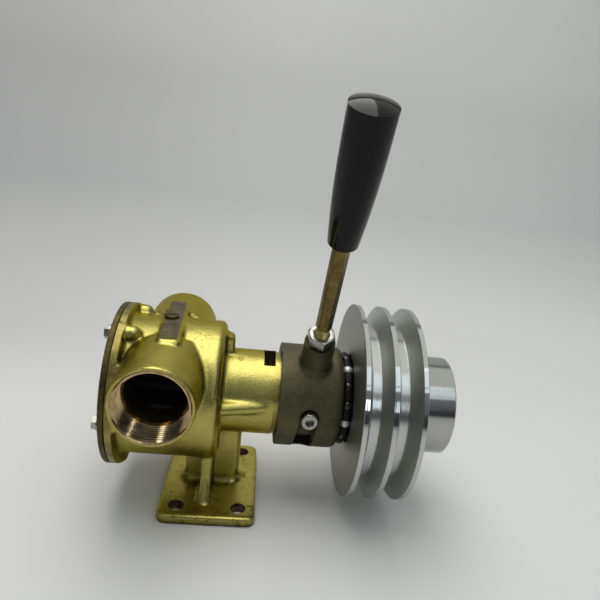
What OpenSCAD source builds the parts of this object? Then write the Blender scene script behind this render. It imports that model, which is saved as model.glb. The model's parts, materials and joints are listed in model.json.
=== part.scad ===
// Flexible-impeller bilge pump, foot mounted, with a two-groove belt pulley and a
// hand-lever cone clutch. The shaft runs along X; the origin is the centre of the
// foot bolt pattern, on the underside of the foot.

/* [Foot and pedestal] */
// Length of the foot along the shaft
base_l = 69; // [60:1:90]
// Width of the foot across the shaft
base_w = 95; // [85:1:120]
// Thickness of the foot
base_t = 7.5; // [5:0.5:12]
// Corner radius of the foot
base_corner_r = 6; // [4:0.5:10]
// Rounding of the foot's top edge
base_edge_r = 1.6; // [0.5:0.1:3]
// Spacing of the bolt holes along the shaft
bolt_span_x = 44; // [36:1:48]
// Spacing of the bolt holes across the shaft
bolt_span_y = 72; // [64:1:78]
// Diameter of the bolt holes
bolt_hole_d = 11; // [7:0.5:13]
// Height of the shaft axis above the foot's underside
shaft_h = 83.4; // [78:0.1:100]
// Thickness of the cross rib of the pedestal
rib_t = 7.2; // [5:0.1:10]
// Width of the cross rib, across the shaft
rib_w = 51; // [40:1:60]
// Where the cross rib stands along the shaft
rib_x = -3.2; // [-8:0.1:4]
// Thickness of the long web of the pedestal
web_t = 11; // [8:0.5:14]
// Length of the long web, along the shaft
web_l = 40.4; // [34:0.1:46]
// Fillet between the pedestal and the foot
foot_fillet_r = 5; // [2:0.5:7]

/* [Pump barrel] */
// Rear face of the barrel, measured from the middle of the foot
rear_face_x = 3; // [0:0.5:8]
// Outside diameter of the barrel
barrel_d = 99; // [96:0.5:104]
// Length of the barrel, from the rear face to the flange
barrel_len = 65.3; // [62:0.1:74]
// Rounding of the barrel's rear shoulder
shoulder_r = 5; // [2:0.5:8]
// Outside diameter of the cover flange
flange_d = 114.4; // [112:0.2:122]
// Thickness of the cover flange
flange_t = 4.8; // [3.5:0.1:6]
// Rounding of the flange's rear edge
flange_edge_r = 2.2; // [0.5:0.1:2.5]
// Fillet behind the flange
flange_fillet_r = 2.5; // [1:0.5:4]
// Diameter of the impeller chamber
chamber_d = 74; // [68:1:78]
// Thickness of the wall behind the chamber
chamber_wall = 10; // [8:0.5:14]
// Thickness of the wear plate at the end of the chamber
wear_plate_t = 1.6; // [1:0.1:2.5]

/* [Ports] */
// Distance between the two port mouths
port_span = 148.2; // [140:0.2:160]
// Distance of the port axis in front of the rear face
port_setback = 38.5; // [36:0.5:42]
// Height of the port axis above the shaft axis
port_rise = 20.6; // [16:0.1:22]
// Outside diameter of a port at its mouth
port_d = 53.4; // [52:0.2:56]
// Casting draft of the port's outside, in degrees
port_draft = 2.5; // [0:0.5:4]
// Tapping diameter of the port thread
port_bore_d = 44.85; // [42:0.05:46]
// Diameter of the countersunk mouth
port_mouth_d = 49; // [47:0.5:50]
// Depth of the threaded length
port_thread_len = 18.6; // [14:0.2:24]
// Diameter of the duct behind the thread
duct_d = 40.8; // [34:0.2:42]
// Half the thickness of metal left between the two ducts
duct_stop = 16; // [12:0.5:20]

/* [Cam and its pad] */
// Width of the machined pad over the cam
pad_w = 12.6; // [11:0.2:14]
// Length of the pad, across the shaft
pad_l = 79; // [60:1:90]
// Height of the pad's face above the barrel
pad_proud = 1.3; // [0.5:0.1:4.5]
// Turn of the pad about the vertical, in degrees
pad_turn = 2.4; // [0:0.1:4]
// Rounding of the pad's corners
pad_corner_r = 1.5; // [0.5:0.5:4]
// Width of the cast step round the pad
pad_step_w = 1.8; // [1:0.1:3]
// Thickness of the cam at its middle
cam_t = 7; // [4:0.5:9]
// Width of the cam, across the shaft
cam_w = 40; // [30:1:44]
// Radius of the cam's face
cam_face_r = 80; // [60:1:120]
// Thread diameter of the cam screw
cam_screw_d = 6; // [5:1:6]
// Distance of the cam screw behind the shaft's plane
cam_screw_back = 3; // [0:0.5:6]
// Head diameter of the cam screw
cam_head_d = 10.2; // [10:0.2:11]
// Height of the cam screw's head
cam_head_h = 1.4; // [1.2:0.1:3]
// Thickness of the copper ring under the cam screw
cam_ring_t = 0.6; // [0.5:0.1:1]

/* [End cover] */
// Thickness of the gasket
gasket_t = 0.5; // [0.3:0.1:1]
// Distance from the flange's rim in to the gasket's edge
gasket_set = 1.4; // [0.4:0.1:2]
// Thickness of the cover plate
cover_t = 3.9; // [2:0.1:5]
// Radius of the circle of cover screws
cover_screw_r = 51.2; // [50.5:0.1:52]
// Angles of the cover screws on one side, from straight up
cover_screw_angles = [26, 96, 156];
// Thread diameter of a cover screw
cover_screw_d = 5; // [4:0.5:5]
// Width across flats of a cover screw's head
cover_head_af = 8; // [7:0.5:8]
// Thickness of a cover screw's head
cover_head_t = 3.1; // [3:0.1:4]
// Diameter of the washer under a cover screw
washer_d = 10; // [9:0.5:10.5]
// Thickness of the washer
washer_t = 1; // [0.8:0.1:1.5]
// Diameter of the screw bosses behind the flange
boss_d = 11; // [9:0.5:12]
// Length of the long screw bosses, to the top of their domes
boss_len = 10; // [8:0.1:14]
// Length of the short screw bosses, under the barrel
short_boss_len = 1.5; // [1.2:0.1:6]

/* [Neck] */
// Diameter of the cast neck
neck_d = 60.6; // [60:0.2:66]
// Length of the cast neck, from the rear face of the barrel
neck_cast_len = 38.5; // [36:0.5:42]
// Diameter of the machined journal that carries the clutch collar
journal_d = 59.6; // [57:0.2:60]
// Length of the journal
journal_len = 41.7; // [41:0.1:46]
// Diameter of the drain chamber in the neck
drain_d = 38; // [34:1:42]
// Width of the drain slots, along the shaft
drain_slot_w = 8.2; // [5:0.1:9]
// Length of the drain slots, across the neck
drain_slot_l = 27.6; // [20:0.2:30]
// Distance from the drain slots' middle to the end of the cast neck
drain_slot_back = 6.4; // [6:0.1:10]
// Thickness of the side fins on the neck
fin_t = 9; // [5:0.5:10]
// How far the side fins stand out at the barrel
fin_reach = 9; // [5:0.5:12]
// Length of the side fins
fin_len = 30; // [20:1:34]
// Height of the fins' middle above the shaft axis
fin_rise = 1.5; // [-3:0.5:4]
// Length of the lifting lug on top of the neck, along the shaft
lug_l = 6.6; // [4:0.1:10]
// Width of the lug
lug_w = 11; // [6:0.5:16]
// Height of the lug's top above the shaft axis
lug_rise = 43.6; // [36:0.1:46]

/* [Shaft and bearings] */
// Shaft diameter at the impeller
impeller_seat_d = 16; // [14:1:17]
// Shaft diameter at the seal, the bearings and the pulley
shaft_d = 20; // [18:1:22]
// Diameter of the shaft's shoulder between the bearings
shaft_shoulder_d = 25; // [24:0.5:28]
// Shaft diameter under the clutch cone
cone_seat_d = 17; // [15:0.5:17.5]
// Outside diameter of the bearings
bearing_od = 47; // [44:1:50]
// Width of a bearing
bearing_w = 14; // [12:0.5:15]
// Radial thickness of a bearing's rings
bearing_ring_t = 3.6; // [3:0.1:4]
// Number of balls in a bearing
bearing_ball_count = 8; // [6:1:8]
// Gap between the two bearings
bearing_gap = 9.7; // [8:0.1:12]
// Thickness of the circlip that holds the bearings
circlip_t = 1.75; // [1.5:0.05:2]
// Outside diameter of the shaft seal
seal_od = 32; // [30:1:34]
// Width of the shaft seal
seal_w = 7; // [6:0.5:8]
// Outside diameter of the slinger ring
slinger_d = 31; // [26:1:33]
// Width of the slinger ring
slinger_w = 4; // [3:0.5:6]

/* [Impeller] */
// Number of impeller blades
blade_count = 10; // [6:2:12]
// Diameter of the rubber hub
impeller_hub_d = 29; // [27:0.5:32]
// Outside diameter of the brass sleeve in the hub
sleeve_d = 22; // [20:0.5:24]
// Thickness of a blade at its root
blade_root_t = 4.6; // [4:0.1:6]
// Thickness of a blade near its tip
blade_tip_t = 2.8; // [2:0.1:3.5]
// Diameter of the bead on a blade's tip
blade_bead_d = 4.6; // [3.6:0.1:5.5]

/* [Clutch collar] */
// Outside diameter of the collar
collar_d = 74.4; // [73:0.2:80]
// Length of the collar
collar_len = 43.7; // [43:0.1:46]
// Journal left uncovered between the cast neck and the collar
collar_gap = 1.9; // [1:0.1:3]
// Rounding of the collar's pulley end
collar_edge_r = 2; // [1:0.5:2.5]
// Angle that the lever turns through, in degrees
lever_throw = 60; // [48:6:72]
// Axial advance of the cam slot for one full turn
slot_lead = 16; // [10:0.5:18]
// Width of the cam slot
slot_w = 13.3; // [13.2:0.1:14]
// Distance from the collar's free end to the follower at rest
follower_set = 21.1; // [18:0.1:24]
// Angle of the follower from straight up, towards the lever's side
follower_angle = 90; // [80:1:100]
// Head diameter of the follower screw
follower_head_d = 11.4; // [10:0.1:12.4]
// Head height of the follower screw
follower_head_h = 7; // [6:0.5:9]
// Thread diameter of the follower screw
follower_screw_d = 7; // [6:1:8]
// Diameter of the bush that runs in the cam slot
follower_bush_d = 13; // [12:0.1:13]
// Height of the bush
follower_bush_h = 4.6; // [2:0.1:5]

/* [Lever] */
// Distance from the collar's free end to the lever axis
lever_set = 23.1; // [20:0.1:25]
// Lean of the lever from straight up, with the clutch out
lever_tilt = 25.8; // [10:0.1:40]
// Diameter of the lever boss on the collar
lever_boss_d = 21.6; // [20:0.2:24]
// Distance from the shaft axis to the boss's face
lever_boss_reach = 58.6; // [52:0.1:64]
// Width across flats of the hexagonal lever rod
rod_af = 9.5; // [8:0.1:11]
// Thread diameter of the rod's ends
rod_thread_d = 9.4; // [8:0.1:10]
// Length of the rod between its threads
rod_len = 77.3; // [60:0.1:120]
// Thread left in view between the locknut and the hexagon
rod_thread_view = 6.6; // [1:0.1:10]
// Width across flats of the locknut
locknut_af = 17; // [16:0.5:18]
// Thickness of the locknut
locknut_t = 8; // [6:0.5:10]
// Length of the grip
grip_len = 85; // [60:1:110]
// Largest diameter of the grip
grip_top_d = 25.6; // [22:0.1:32]
// Diameter of the grip at its lower end
grip_bottom_d = 18.4; // [16:0.1:22]
// Height of the grip's domed top
grip_dome_h = 2.4; // [1:0.1:4]

/* [Thrust bearing] */
// Gap between the two thrust races
race_gap = 7.3; // [7:0.1:8]
// Thickness of a thrust race
race_t = 3.5; // [3:0.1:4]
// Width of a thrust race outside the circle of balls
race_out_w = 4.2; // [3.5:0.1:4.6]
// Width of a thrust race inside the circle of balls
race_in_w = 4.8; // [4:0.1:5.2]
// Number of thrust balls
thrust_ball_count = 15; // [8:1:16]
// Angle of the first thrust ball from straight up, in degrees
thrust_ball_phase = 1.5; // [0:0.5:30]
// Diameter of a thrust ball
thrust_ball_d = 7.94; // [7.8:0.02:8.1]
// Pitch circle of the thrust balls
thrust_pitch_d = 59.6; // [58:0.2:60]
// Width of the ball cage outside the circle of balls
cage_out_w = 3.1; // [2.5:0.1:3.8]
// Rounding of the ball cage's rim
cage_edge_r = 2.8; // [0.5:0.1:3]

/* [Pulley] */
// Outside diameter of the pulley
pulley_d = 140.5; // [130:0.5:160]
// Number of belt grooves
groove_count = 2; // [1:1:3]
// Distance from one groove to the next
groove_pitch = 19; // [18:0.5:20]
// Width of the lands between the grooves
land_w = 3.2; // [2.5:0.1:5]
// Depth of a groove
groove_depth = 14.5; // [12:0.5:16]
// Full angle of a groove, in degrees
groove_angle = 38; // [34:1:40]
// Diameter of the pulley's hub
hub_d = 71.4; // [70:0.2:78]
// Length of the hub beyond the last land
hub_len = 31.5; // [28:0.1:36]
// Outside diameter of the pulley's bush
bush_od = 28; // [26:0.5:30]
// Length of the bush
bush_len = 32; // [24:1:34]

/* [Cone clutch] */
// Half angle of the friction cone, in degrees
cone_angle = 13.5; // [10:0.5:15]
// Diameter of the hub's bored mouth
cone_mouth_d = 62; // [58:0.5:63]
// Thickness of the friction lining
lining_t = 2.5; // [1.5:0.1:3]
// Length of the driven cone
cone_len = 20; // [16:0.5:22]
// How far the driven cone sits inside the hub's mouth
cone_inset = 4; // [2:0.5:6]
// Depth of the recess in the driven cone's face
cone_recess = 6; // [3:0.5:8]
// Width of the key in the driven cone
key_w = 5; // [4:0.5:6]
// Width across flats of the shaft nut
shaft_nut_af = 24; // [22:0.5:26]
// Thickness of the shaft nut
shaft_nut_t = 9; // [7:0.5:11]
// Thickness of the washer under the shaft nut
shaft_washer_t = 2; // [1.5:0.1:3]
// Wire diameter of the release spring
spring_wire_d = 1.8; // [1.4:0.1:2]
// Turns of the release spring
spring_turns = 3.5; // [2.5:0.5:4]

/* [Fits] */
// Radial clearance of a running fit
running_gap = 0.05; // [0.02:0.01:0.08]
// Radial clearance of a screw in its hole
screw_gap = 0.1; // [0.05:0.05:0.3]
// Clearance of a rubber part from the metal round it
rubber_gap = 0.35; // [0.3:0.05:0.6]
// Clearance of parts that pass each other without touching
free_gap = 0.3; // [0.3:0.05:0.5]

/* [Hidden] */
$fn = 96;
hex_sides = 6;
cut = 1;            // how far a cutting tool runs past the face that it cuts
bite = 1;           // how far joined forms run into each other
chamfer = 0.8;      // small chamfer of turned edges

casting = "#b9ad45";
machined_bronze = "#a98a52";
cast_bronze = "#7d7452";
brass = "#8f8140";
zinc = "#c9c9bd";
steel = "#b4b7b9";
black_steel = "#26272a";
aluminium = "#c5c8ca";
rubber = "#1b1b1d";
plastic = "#0d0d0e";
paper = "#5d5136";
lining_brown = "#5a4a3c";

// Places along the shaft, from the cover to the shaft's end
flange_rear_x = rear_face_x - barrel_len;
flange_face_x = flange_rear_x - flange_t;
cover_inner_x = flange_face_x - gasket_t;
cover_face_x = cover_inner_x - cover_t;
port_x = rear_face_x - port_setback;
cam_screw_x = port_x - 1;
seal_x = rear_face_x - chamber_wall / 2;
chamber_end_x = seal_x - chamber_wall;
wear_face_x = chamber_end_x - wear_plate_t;
neck_end_x = rear_face_x + neck_cast_len;
journal_end_x = neck_end_x + journal_len;
collar_x = neck_end_x + collar_gap;
collar_end_x = collar_x + collar_len;
pulley_x = collar_end_x + race_gap;
bearing_2_x = journal_end_x - 3.2 - bearing_w;
bearing_1_x = bearing_2_x - bearing_gap - bearing_w;
circlip_x = bearing_2_x + bearing_w + 0.1;
follower_x = collar_x + follower_set;
lever_x = collar_x + lever_set;
last_land_x = pulley_x + groove_count * groove_pitch + land_w;
hub_end_x = last_land_x + hub_len;
cone_face_x = hub_end_x - cone_inset;
cone_back_x = cone_face_x - cone_len;
bush_x = pulley_x + race_t + 0.1;
bush_end_x = bush_x + bush_len;
spring_seat_t = 1;
nut_x = cone_face_x - cone_recess + shaft_washer_t;
shaft_start_x = cover_inner_x + 2;
shaft_end_x = nut_x + shaft_nut_t + 2;
drain_slot_x = neck_end_x - drain_slot_back;

// The upper cover screws have long bosses, the two under the barrel short ones
long_screw_angles = [cover_screw_angles[0], cover_screw_angles[1]];
short_screw_angles = [cover_screw_angles[2]];

// Radii, heights and travels
pad_rise = barrel_d / 2 + pad_proud;
race_od = thrust_pitch_d + 2 * race_out_w;
race_id = thrust_pitch_d - 2 * race_in_w;
cage_od = thrust_pitch_d + 2 * cage_out_w;
clutch_travel = slot_lead * lever_throw / 360;
collar_bore_r = journal_d / 2 + running_gap;
ball_groove_r = thrust_ball_d / 2 + 0.06;
ball_mid_x = collar_end_x + race_gap / 2;
mouth_slope = tan(port_draft);
cone_slope = tan(cone_angle);
cone_rest_gap = clutch_travel * cone_slope + 0.1;
impeller_face_x = cover_inner_x + rubber_gap;
impeller_end_x = wear_face_x - rubber_gap;
bolt_height = shaft_h - barrel_d / 2;

// ---------- helpers ----------

// Turns a flat profile [radius, x] round the shaft axis
module turned() {
    translate([0, 0, shaft_h]) rotate([0, 90, 0]) rotate_extrude() children();
}

// Flat ring profile from x0 to x1
module band(r_in, r_out, x0, x1) {
    translate([r_in, x0]) square([r_out - r_in, x1 - x0]);
}

// Flat disc profile from x0 to x1 with its outer corners rounded by e0 and e1
module round_band(r, x0, x1, e0, e1) {
    band(0, r, x0 + e0, x1 - e1);
    band(0, r - e0, x0, x1 - e1);
    band(0, r - e1, x0 + e0, x1);
    if (e0 > 0) translate([r - e0, x0 + e0]) circle(e0);
    if (e1 > 0) translate([r - e1, x1 - e1]) circle(e1);
}

// Places a child that points up, at an angle from straight up and at a radius
module around_shaft(angle, r = 0, x = 0) {
    translate([x, 0, shaft_h]) rotate([angle, 0, 0]) translate([0, 0, r]) children();
}

// Places a child that points along X on the circle of cover screws
module at_cover_screws(x, angles = cover_screw_angles) {
    for (a = angles, side = [1, -1])
        around_shaft(side * a, cover_screw_r, x) rotate([0, 90, 0]) children();
}

module hex_prism(across_flats, height) {
    cylinder(d = across_flats / cos(30), h = height, $fn = hex_sides);
}

// Hexagon head or nut with its corners turned down at the far end, or at both
module turned_hexagon(across_flats, height, both = false) {
    corner_r = across_flats / cos(30) / 2;
    drop = (corner_r - across_flats / 2) * tan(30);
    low = both ? drop : 0;
    intersection() {
        hex_prism(across_flats, height);
        rotate_extrude() polygon([
            [0, 0], [both ? across_flats / 2 : corner_r, 0], [corner_r + 0.01, low],
            [corner_r + 0.01, height - drop], [across_flats / 2, height], [0, height]
        ]);
    }
}

// Faces of a tube of rings, all with the same number of points
function tube_faces(rings, sides) = concat(
    [[for (k = [0:sides - 1]) sides - 1 - k]],
    [for (i = [0:rings - 2], k = [0:sides - 1], half = [0, 1])
        let (k2 = (k + 1) % sides, a = i * sides + k, b = i * sides + k2)
        half == 0 ? [a, b, b + sides] : [a, b + sides, a + sides]],
    [[for (k = [0:sides - 1]) (rings - 1) * sides + k]]
);

// ---------- pump body ----------

module rounded_plate(l, w, t, corner_r, edge_r) {
    module outline(inset) {
        for (sx = [-1, 1], sy = [-1, 1])
            translate([sx * (l / 2 - corner_r), sy * (w / 2 - corner_r)])
                circle(corner_r - inset);
        square([l - 2 * corner_r, w - 2 * inset], center = true);
        square([l - 2 * inset, w - 2 * corner_r], center = true);
    }
    linear_extrude(t - edge_r) outline(0);
    linear_extrude(t) outline(edge_r);
    for (sx = [-1, 1], sy = [-1, 1])
        translate([sx * (l / 2 - corner_r), sy * (w / 2 - corner_r), t - edge_r])
            rotate_extrude() translate([corner_r - edge_r, 0]) circle(edge_r);
    for (side = [-1, 1]) {
        translate([-l / 2 + corner_r, side * (w / 2 - edge_r), t - edge_r])
            rotate([0, 90, 0]) cylinder(r = edge_r, h = l - 2 * corner_r);
        translate([side * (l / 2 - edge_r), -w / 2 + corner_r, t - edge_r])
            rotate([-90, 0, 0]) cylinder(r = edge_r, h = w - 2 * corner_r);
    }
}

// Upright web with round ends, and a hollow fillet round its foot
module web(length, t, height, fillet_r) {
    run = length - t;
    module fillet_profile() {
        difference() {
            square(fillet_r);
            translate([fillet_r, fillet_r]) circle(fillet_r);
        }
    }
    for (side = [-1, 1]) {
        translate([side * run / 2, 0, 0]) cylinder(d = t, h = height);
        translate([side * run / 2, 0, 0])
            rotate_extrude() translate([t / 2 - 0.01, 0]) fillet_profile();
        translate([-run / 2, side * (t / 2 - 0.01), 0])
            rotate([90, 0, 90]) linear_extrude(run)
                mirror([side < 0 ? 1 : 0, 0]) fillet_profile();
    }
    translate([-run / 2, -t / 2, 0]) cube([run, t, height]);
}

module pedestal() {
    translate([0, 0, base_t - 0.01]) {
        translate([rib_x, 0, 0]) rotate([0, 0, 90])
            web(rib_w, rib_t, shaft_h - barrel_d / 2 + 8, foot_fillet_r);
        web(web_l, web_t, shaft_h - base_t - neck_d / 2 + 8, foot_fillet_r);
    }
}

module port_stub(side) {
    root_y = 24;
    translate([port_x, 0, shaft_h + port_rise]) rotate([side > 0 ? -90 : 90, 0, 0])
        rotate_extrude() polygon([
            [0, root_y], [port_d / 2 + (port_span / 2 - root_y) * mouth_slope, root_y],
            [port_d / 2, port_span / 2 - chamfer], [port_d / 2 - chamfer, port_span / 2],
            [0, port_span / 2]
        ]);
}

module port_bores(side) {
    mouth_depth = (port_mouth_d - port_bore_d) / 2;
    translate([port_x, 0, shaft_h + port_rise]) rotate([side > 0 ? -90 : 90, 0, 0]) {
        translate([0, 0, duct_stop]) cylinder(d = duct_d, h = port_span / 2 - duct_stop);
        translate([0, 0, port_span / 2 - port_thread_len])
            cylinder(d = port_bore_d, h = port_thread_len + cut);
        translate([0, 0, port_span / 2 - mouth_depth])
            cylinder(d1 = port_bore_d, d2 = port_mouth_d + 2 * cut, h = mouth_depth + cut);
    }
}

module side_fin(side) {
    edge_r = fin_t / 2;
    root_y = neck_d / 2 + fin_reach - edge_r;
    tip_y = neck_d / 2 + 1.2 - edge_r;
    slope = atan((root_y - tip_y) / fin_len);
    run = fin_len / cos(slope) + 2 * bite;
    mirror([0, side > 0 ? 0 : 1, 0])
        translate([rear_face_x + fin_len, tip_y, shaft_h + fin_rise]) rotate([0, 0, -slope]) {
            translate([-run, 0, 0]) rotate([90, 0, 90]) linear_extrude(run) {
                circle(edge_r);
                translate([-tip_y / 2, -edge_r]) square([tip_y / 2, fin_t]);
            }
            sphere(edge_r);
            rotate([90, 0, 0]) cylinder(r = edge_r, h = tip_y / 2);
        }
}

module top_lug() {
    corner_r = 3;
    translate([rear_face_x, -lug_w / 2, shaft_h]) {
        translate([-bite, 0, neck_d / 2 - 3])
            cube([lug_l + bite, lug_w, lug_rise - corner_r - neck_d / 2 + 3]);
        translate([-bite, 0, neck_d / 2 - 3])
            cube([lug_l + bite - corner_r, lug_w, lug_rise - neck_d / 2 + 3]);
        translate([lug_l - corner_r, 0, lug_rise - corner_r])
            rotate([-90, 0, 0]) cylinder(r = corner_r, h = lug_w);
    }
}

module cam_pad() {
    step_drop = 1;
    step_w = pad_w + pad_step_w;
    step_l = pad_l + pad_step_w;
    step_shift = pad_step_w / 2 + 0.3;
    corner = pad_corner_r;
    translate([port_x + 0.8, 0, shaft_h + pad_rise - 9]) rotate([0, 0, pad_turn]) {
        rounded_plate(pad_w, pad_l, 9, pad_corner_r, 0.3);
        translate([step_shift - step_w / 2, -step_l / 2, 0])
            linear_extrude(9 - step_drop) polygon([
                [0, corner], [0, step_l - corner], [corner, step_l], [step_w - corner, step_l],
                [step_w, step_l - corner], [step_w, corner], [step_w - corner, 0], [corner, 0]
            ]);
    }
}

module body_form() {
    turned() {
        round_band(barrel_d / 2, flange_rear_x - bite, rear_face_x, 0, shoulder_r);
        round_band(flange_d / 2, flange_face_x, flange_rear_x, 0.6, flange_edge_r);
        difference() {
            band(barrel_d / 2 - bite, barrel_d / 2 + flange_fillet_r,
                 flange_rear_x - bite, flange_rear_x + flange_fillet_r);
            translate([barrel_d / 2 + flange_fillet_r, flange_rear_x + flange_fillet_r])
                circle(flange_fillet_r);
        }
        band(0, neck_d / 2, rear_face_x - bite, neck_end_x);
        band(0, journal_d / 2, neck_end_x - bite, journal_end_x - chamfer);
        band(0, journal_d / 2 - chamfer, neck_end_x, journal_end_x);
        difference() {
            band(neck_d / 2 - bite, neck_d / 2 + 3, rear_face_x - bite, rear_face_x + 3);
            translate([neck_d / 2 + 3, rear_face_x + 3]) circle(3);
        }
    }
    for (side = [-1, 1]) {
        port_stub(side);
        side_fin(side);
    }
    at_cover_screws(flange_rear_x - flange_edge_r, long_screw_angles) {
        cylinder(d = boss_d, h = boss_len + flange_edge_r - boss_d / 2);
        translate([0, 0, boss_len + flange_edge_r - boss_d / 2]) sphere(d = boss_d);
    }
    at_cover_screws(flange_rear_x - flange_edge_r, short_screw_angles)
        rotate_extrude() round_band(boss_d / 2, 0, short_boss_len + flange_edge_r, 0, 1);
    cam_pad();
    top_lug();
    pedestal();
    rounded_plate(base_l, base_w, base_t, base_corner_r, base_edge_r);
}

module body_bores() {
    turned() {
        band(0, chamber_d / 2, flange_face_x - cut, chamber_end_x);
        band(0, seal_od / 2, chamber_end_x - cut, chamber_end_x + seal_w);
        band(0, shaft_d / 2 + 1, chamber_end_x, rear_face_x + bite);
        band(0, drain_d / 2, rear_face_x, bearing_1_x + bite);
        band(0, bearing_od / 2, bearing_1_x, journal_end_x + cut);
        band(0, bearing_od / 2 + 1.2, circlip_x, circlip_x + circlip_t + 0.1);
    }
    for (side = [-1, 1])
        port_bores(side);
    at_cover_screws(flange_face_x - cut, long_screw_angles)
        cylinder(r = cover_screw_d / 2 + screw_gap, h = flange_t + boss_len - 2 + cut);
    at_cover_screws(flange_face_x - cut, short_screw_angles)
        cylinder(r = cover_screw_d / 2 + screw_gap, h = flange_t + short_boss_len - 1 + cut);
    translate([cam_screw_x, cam_screw_back, shaft_h])
        cylinder(r = cam_screw_d / 2 + screw_gap, h = pad_rise + cut);
    for (side = [1, -1])
        translate([drain_slot_x - drain_slot_w / 2, -drain_slot_l / 2,
                   shaft_h + (side > 0 ? 12 : -neck_d / 2 - cut)])
            cube([drain_slot_w, drain_slot_l, neck_d / 2 - 12 + cut]);
    around_shaft(follower_angle, bearing_od / 2 - bite, follower_x)
        cylinder(r = follower_screw_d / 2 + screw_gap, h = neck_d / 2);
    for (sx = [-1, 1], sy = [-1, 1])
        translate([sx * bolt_span_x / 2, sy * bolt_span_y / 2, -cut])
            cylinder(d = bolt_hole_d, h = base_t + 2 * cut);
}

module pump_body() {
    color(casting) difference() {
        body_form();
        body_bores();
    }
}

// ---------- fixed pieces ----------

module end_cover() {
    color(brass) difference() {
        turned() round_band(flange_d / 2, cover_face_x, cover_inner_x, 0.8, 0.6);
        at_cover_screws(cover_face_x - cut)
            cylinder(r = cover_screw_d / 2 + screw_gap, h = cover_t + 2 * cut);
    }
}

module cover_gasket() {
    color(paper) difference() {
        turned() band(chamber_d / 2, flange_d / 2 - gasket_set, cover_inner_x, flange_face_x);
        at_cover_screws(cover_inner_x - cut)
            cylinder(r = cover_screw_d / 2 + screw_gap, h = gasket_t + 2 * cut);
    }
}

module cover_screws() {
    grip = washer_t + cover_t + gasket_t + flange_t;
    color(zinc) {
        at_cover_screws(cover_face_x - washer_t, long_screw_angles)
            cylinder(d = cover_screw_d, h = grip + boss_len - 4);
        at_cover_screws(cover_face_x - washer_t, short_screw_angles)
            cylinder(d = cover_screw_d, h = grip + short_boss_len - 1.5);
        at_cover_screws(cover_face_x - washer_t)
            rotate([180, 0, 20]) turned_hexagon(cover_head_af, cover_head_t);
    }
}

module cover_washers() {
    color(zinc) at_cover_screws(cover_face_x - washer_t) difference() {
        cylinder(d = washer_d, h = washer_t);
        translate([0, 0, -cut])
            cylinder(r = cover_screw_d / 2 + screw_gap, h = washer_t + 2 * cut);
    }
}

module cam() {
    top_r = chamber_d / 2 - 0.02;
    color(machined_bronze) translate([0, 0, shaft_h]) difference() {
        intersection() {
            translate([impeller_face_x, 0, 0]) rotate([0, 90, 0])
                cylinder(r = top_r, h = impeller_end_x - impeller_face_x);
            translate([impeller_face_x, -cam_w / 2, 0])
                cube([impeller_end_x - impeller_face_x, cam_w, chamber_d]);
        }
        translate([impeller_face_x - cut, 0, top_r - cam_t - cam_face_r]) rotate([0, 90, 0])
            cylinder(r = cam_face_r, h = impeller_end_x - impeller_face_x + 2 * cut, $fn = 180);
        translate([cam_screw_x, cam_screw_back, top_r - cam_t + 2])
            cylinder(r = cam_screw_d / 2 + screw_gap, h = cam_t);
    }
}

module cam_screw() {
    head_z = shaft_h + pad_rise + cam_ring_t;
    shank = pad_rise + cam_ring_t - chamber_d / 2 + cam_t - 2.5;
    slot_depth = 0.8;
    color(brass) translate([cam_screw_x, cam_screw_back, head_z]) difference() {
        union() {
            translate([0, 0, -shank]) cylinder(d = cam_screw_d, h = shank + 0.5);
            rotate_extrude() round_band(cam_head_d / 2, 0, cam_head_h, 0, 0.5);
        }
        rotate([0, 0, 20]) translate([-cam_head_d, -0.6, cam_head_h - slot_depth])
            cube([2 * cam_head_d, 1.2, slot_depth + cut]);
    }
}

module cam_ring() {
    color(machined_bronze) translate([cam_screw_x, cam_screw_back, shaft_h + pad_rise]) difference() {
        cylinder(d = cam_head_d + 0.6, h = cam_ring_t);
        translate([0, 0, -cut])
            cylinder(r = cam_screw_d / 2 + screw_gap, h = cam_ring_t + 2 * cut);
    }
}

module wear_plate() {
    color(brass) turned()
        band(shaft_d / 2 + 1, chamber_d / 2 - 0.05, wear_face_x, chamber_end_x);
}

module shaft_seal() {
    lip_r = shaft_d / 2 + running_gap;
    case_r = seal_od / 2 - 0.02;
    back_x = chamber_end_x + seal_w;
    color(rubber) turned() polygon([
        [case_r, chamber_end_x], [case_r, back_x], [lip_r + 1.5, back_x],
        [lip_r + 1.5, back_x - 2.4], [lip_r, back_x - 4.2], [lip_r, back_x - 4.8],
        [lip_r + 1.4, back_x - 6.4], [lip_r + 2.6, back_x - 6.4], [lip_r + 2.6, back_x - 1.8],
        [case_r - 2.2, back_x - 1.8], [case_r - 2.2, chamber_end_x]
    ]);
}

module bearing_groove(x, ball_r, pitch_r) {
    translate([pitch_r, x + bearing_w / 2]) circle(ball_r);
}

bearing_pitch_r = (bearing_od + shaft_d) / 4;
bearing_ball_r = bearing_pitch_r - shaft_d / 2 - bearing_ring_t + 1;

module bearing_outer_rings() {
    color(steel) turned() for (x = [bearing_1_x, bearing_2_x]) difference() {
        band(bearing_od / 2 - bearing_ring_t, bearing_od / 2 - 0.01, x, x + bearing_w);
        bearing_groove(x, bearing_ball_r + 0.05, bearing_pitch_r);
    }
}

module bearing_inner_rings() {
    color(steel) turned() for (x = [bearing_1_x, bearing_2_x]) difference() {
        band(shaft_d / 2, shaft_d / 2 + bearing_ring_t, x, x + bearing_w);
        bearing_groove(x, bearing_ball_r + 0.05, bearing_pitch_r);
    }
}

module bearing_balls() {
    color(steel) for (x = [bearing_1_x, bearing_2_x], k = [0:bearing_ball_count - 1])
        around_shaft(360 * k / bearing_ball_count, bearing_pitch_r, x + bearing_w / 2)
            sphere(bearing_ball_r, $fn = 32);
}

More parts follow.
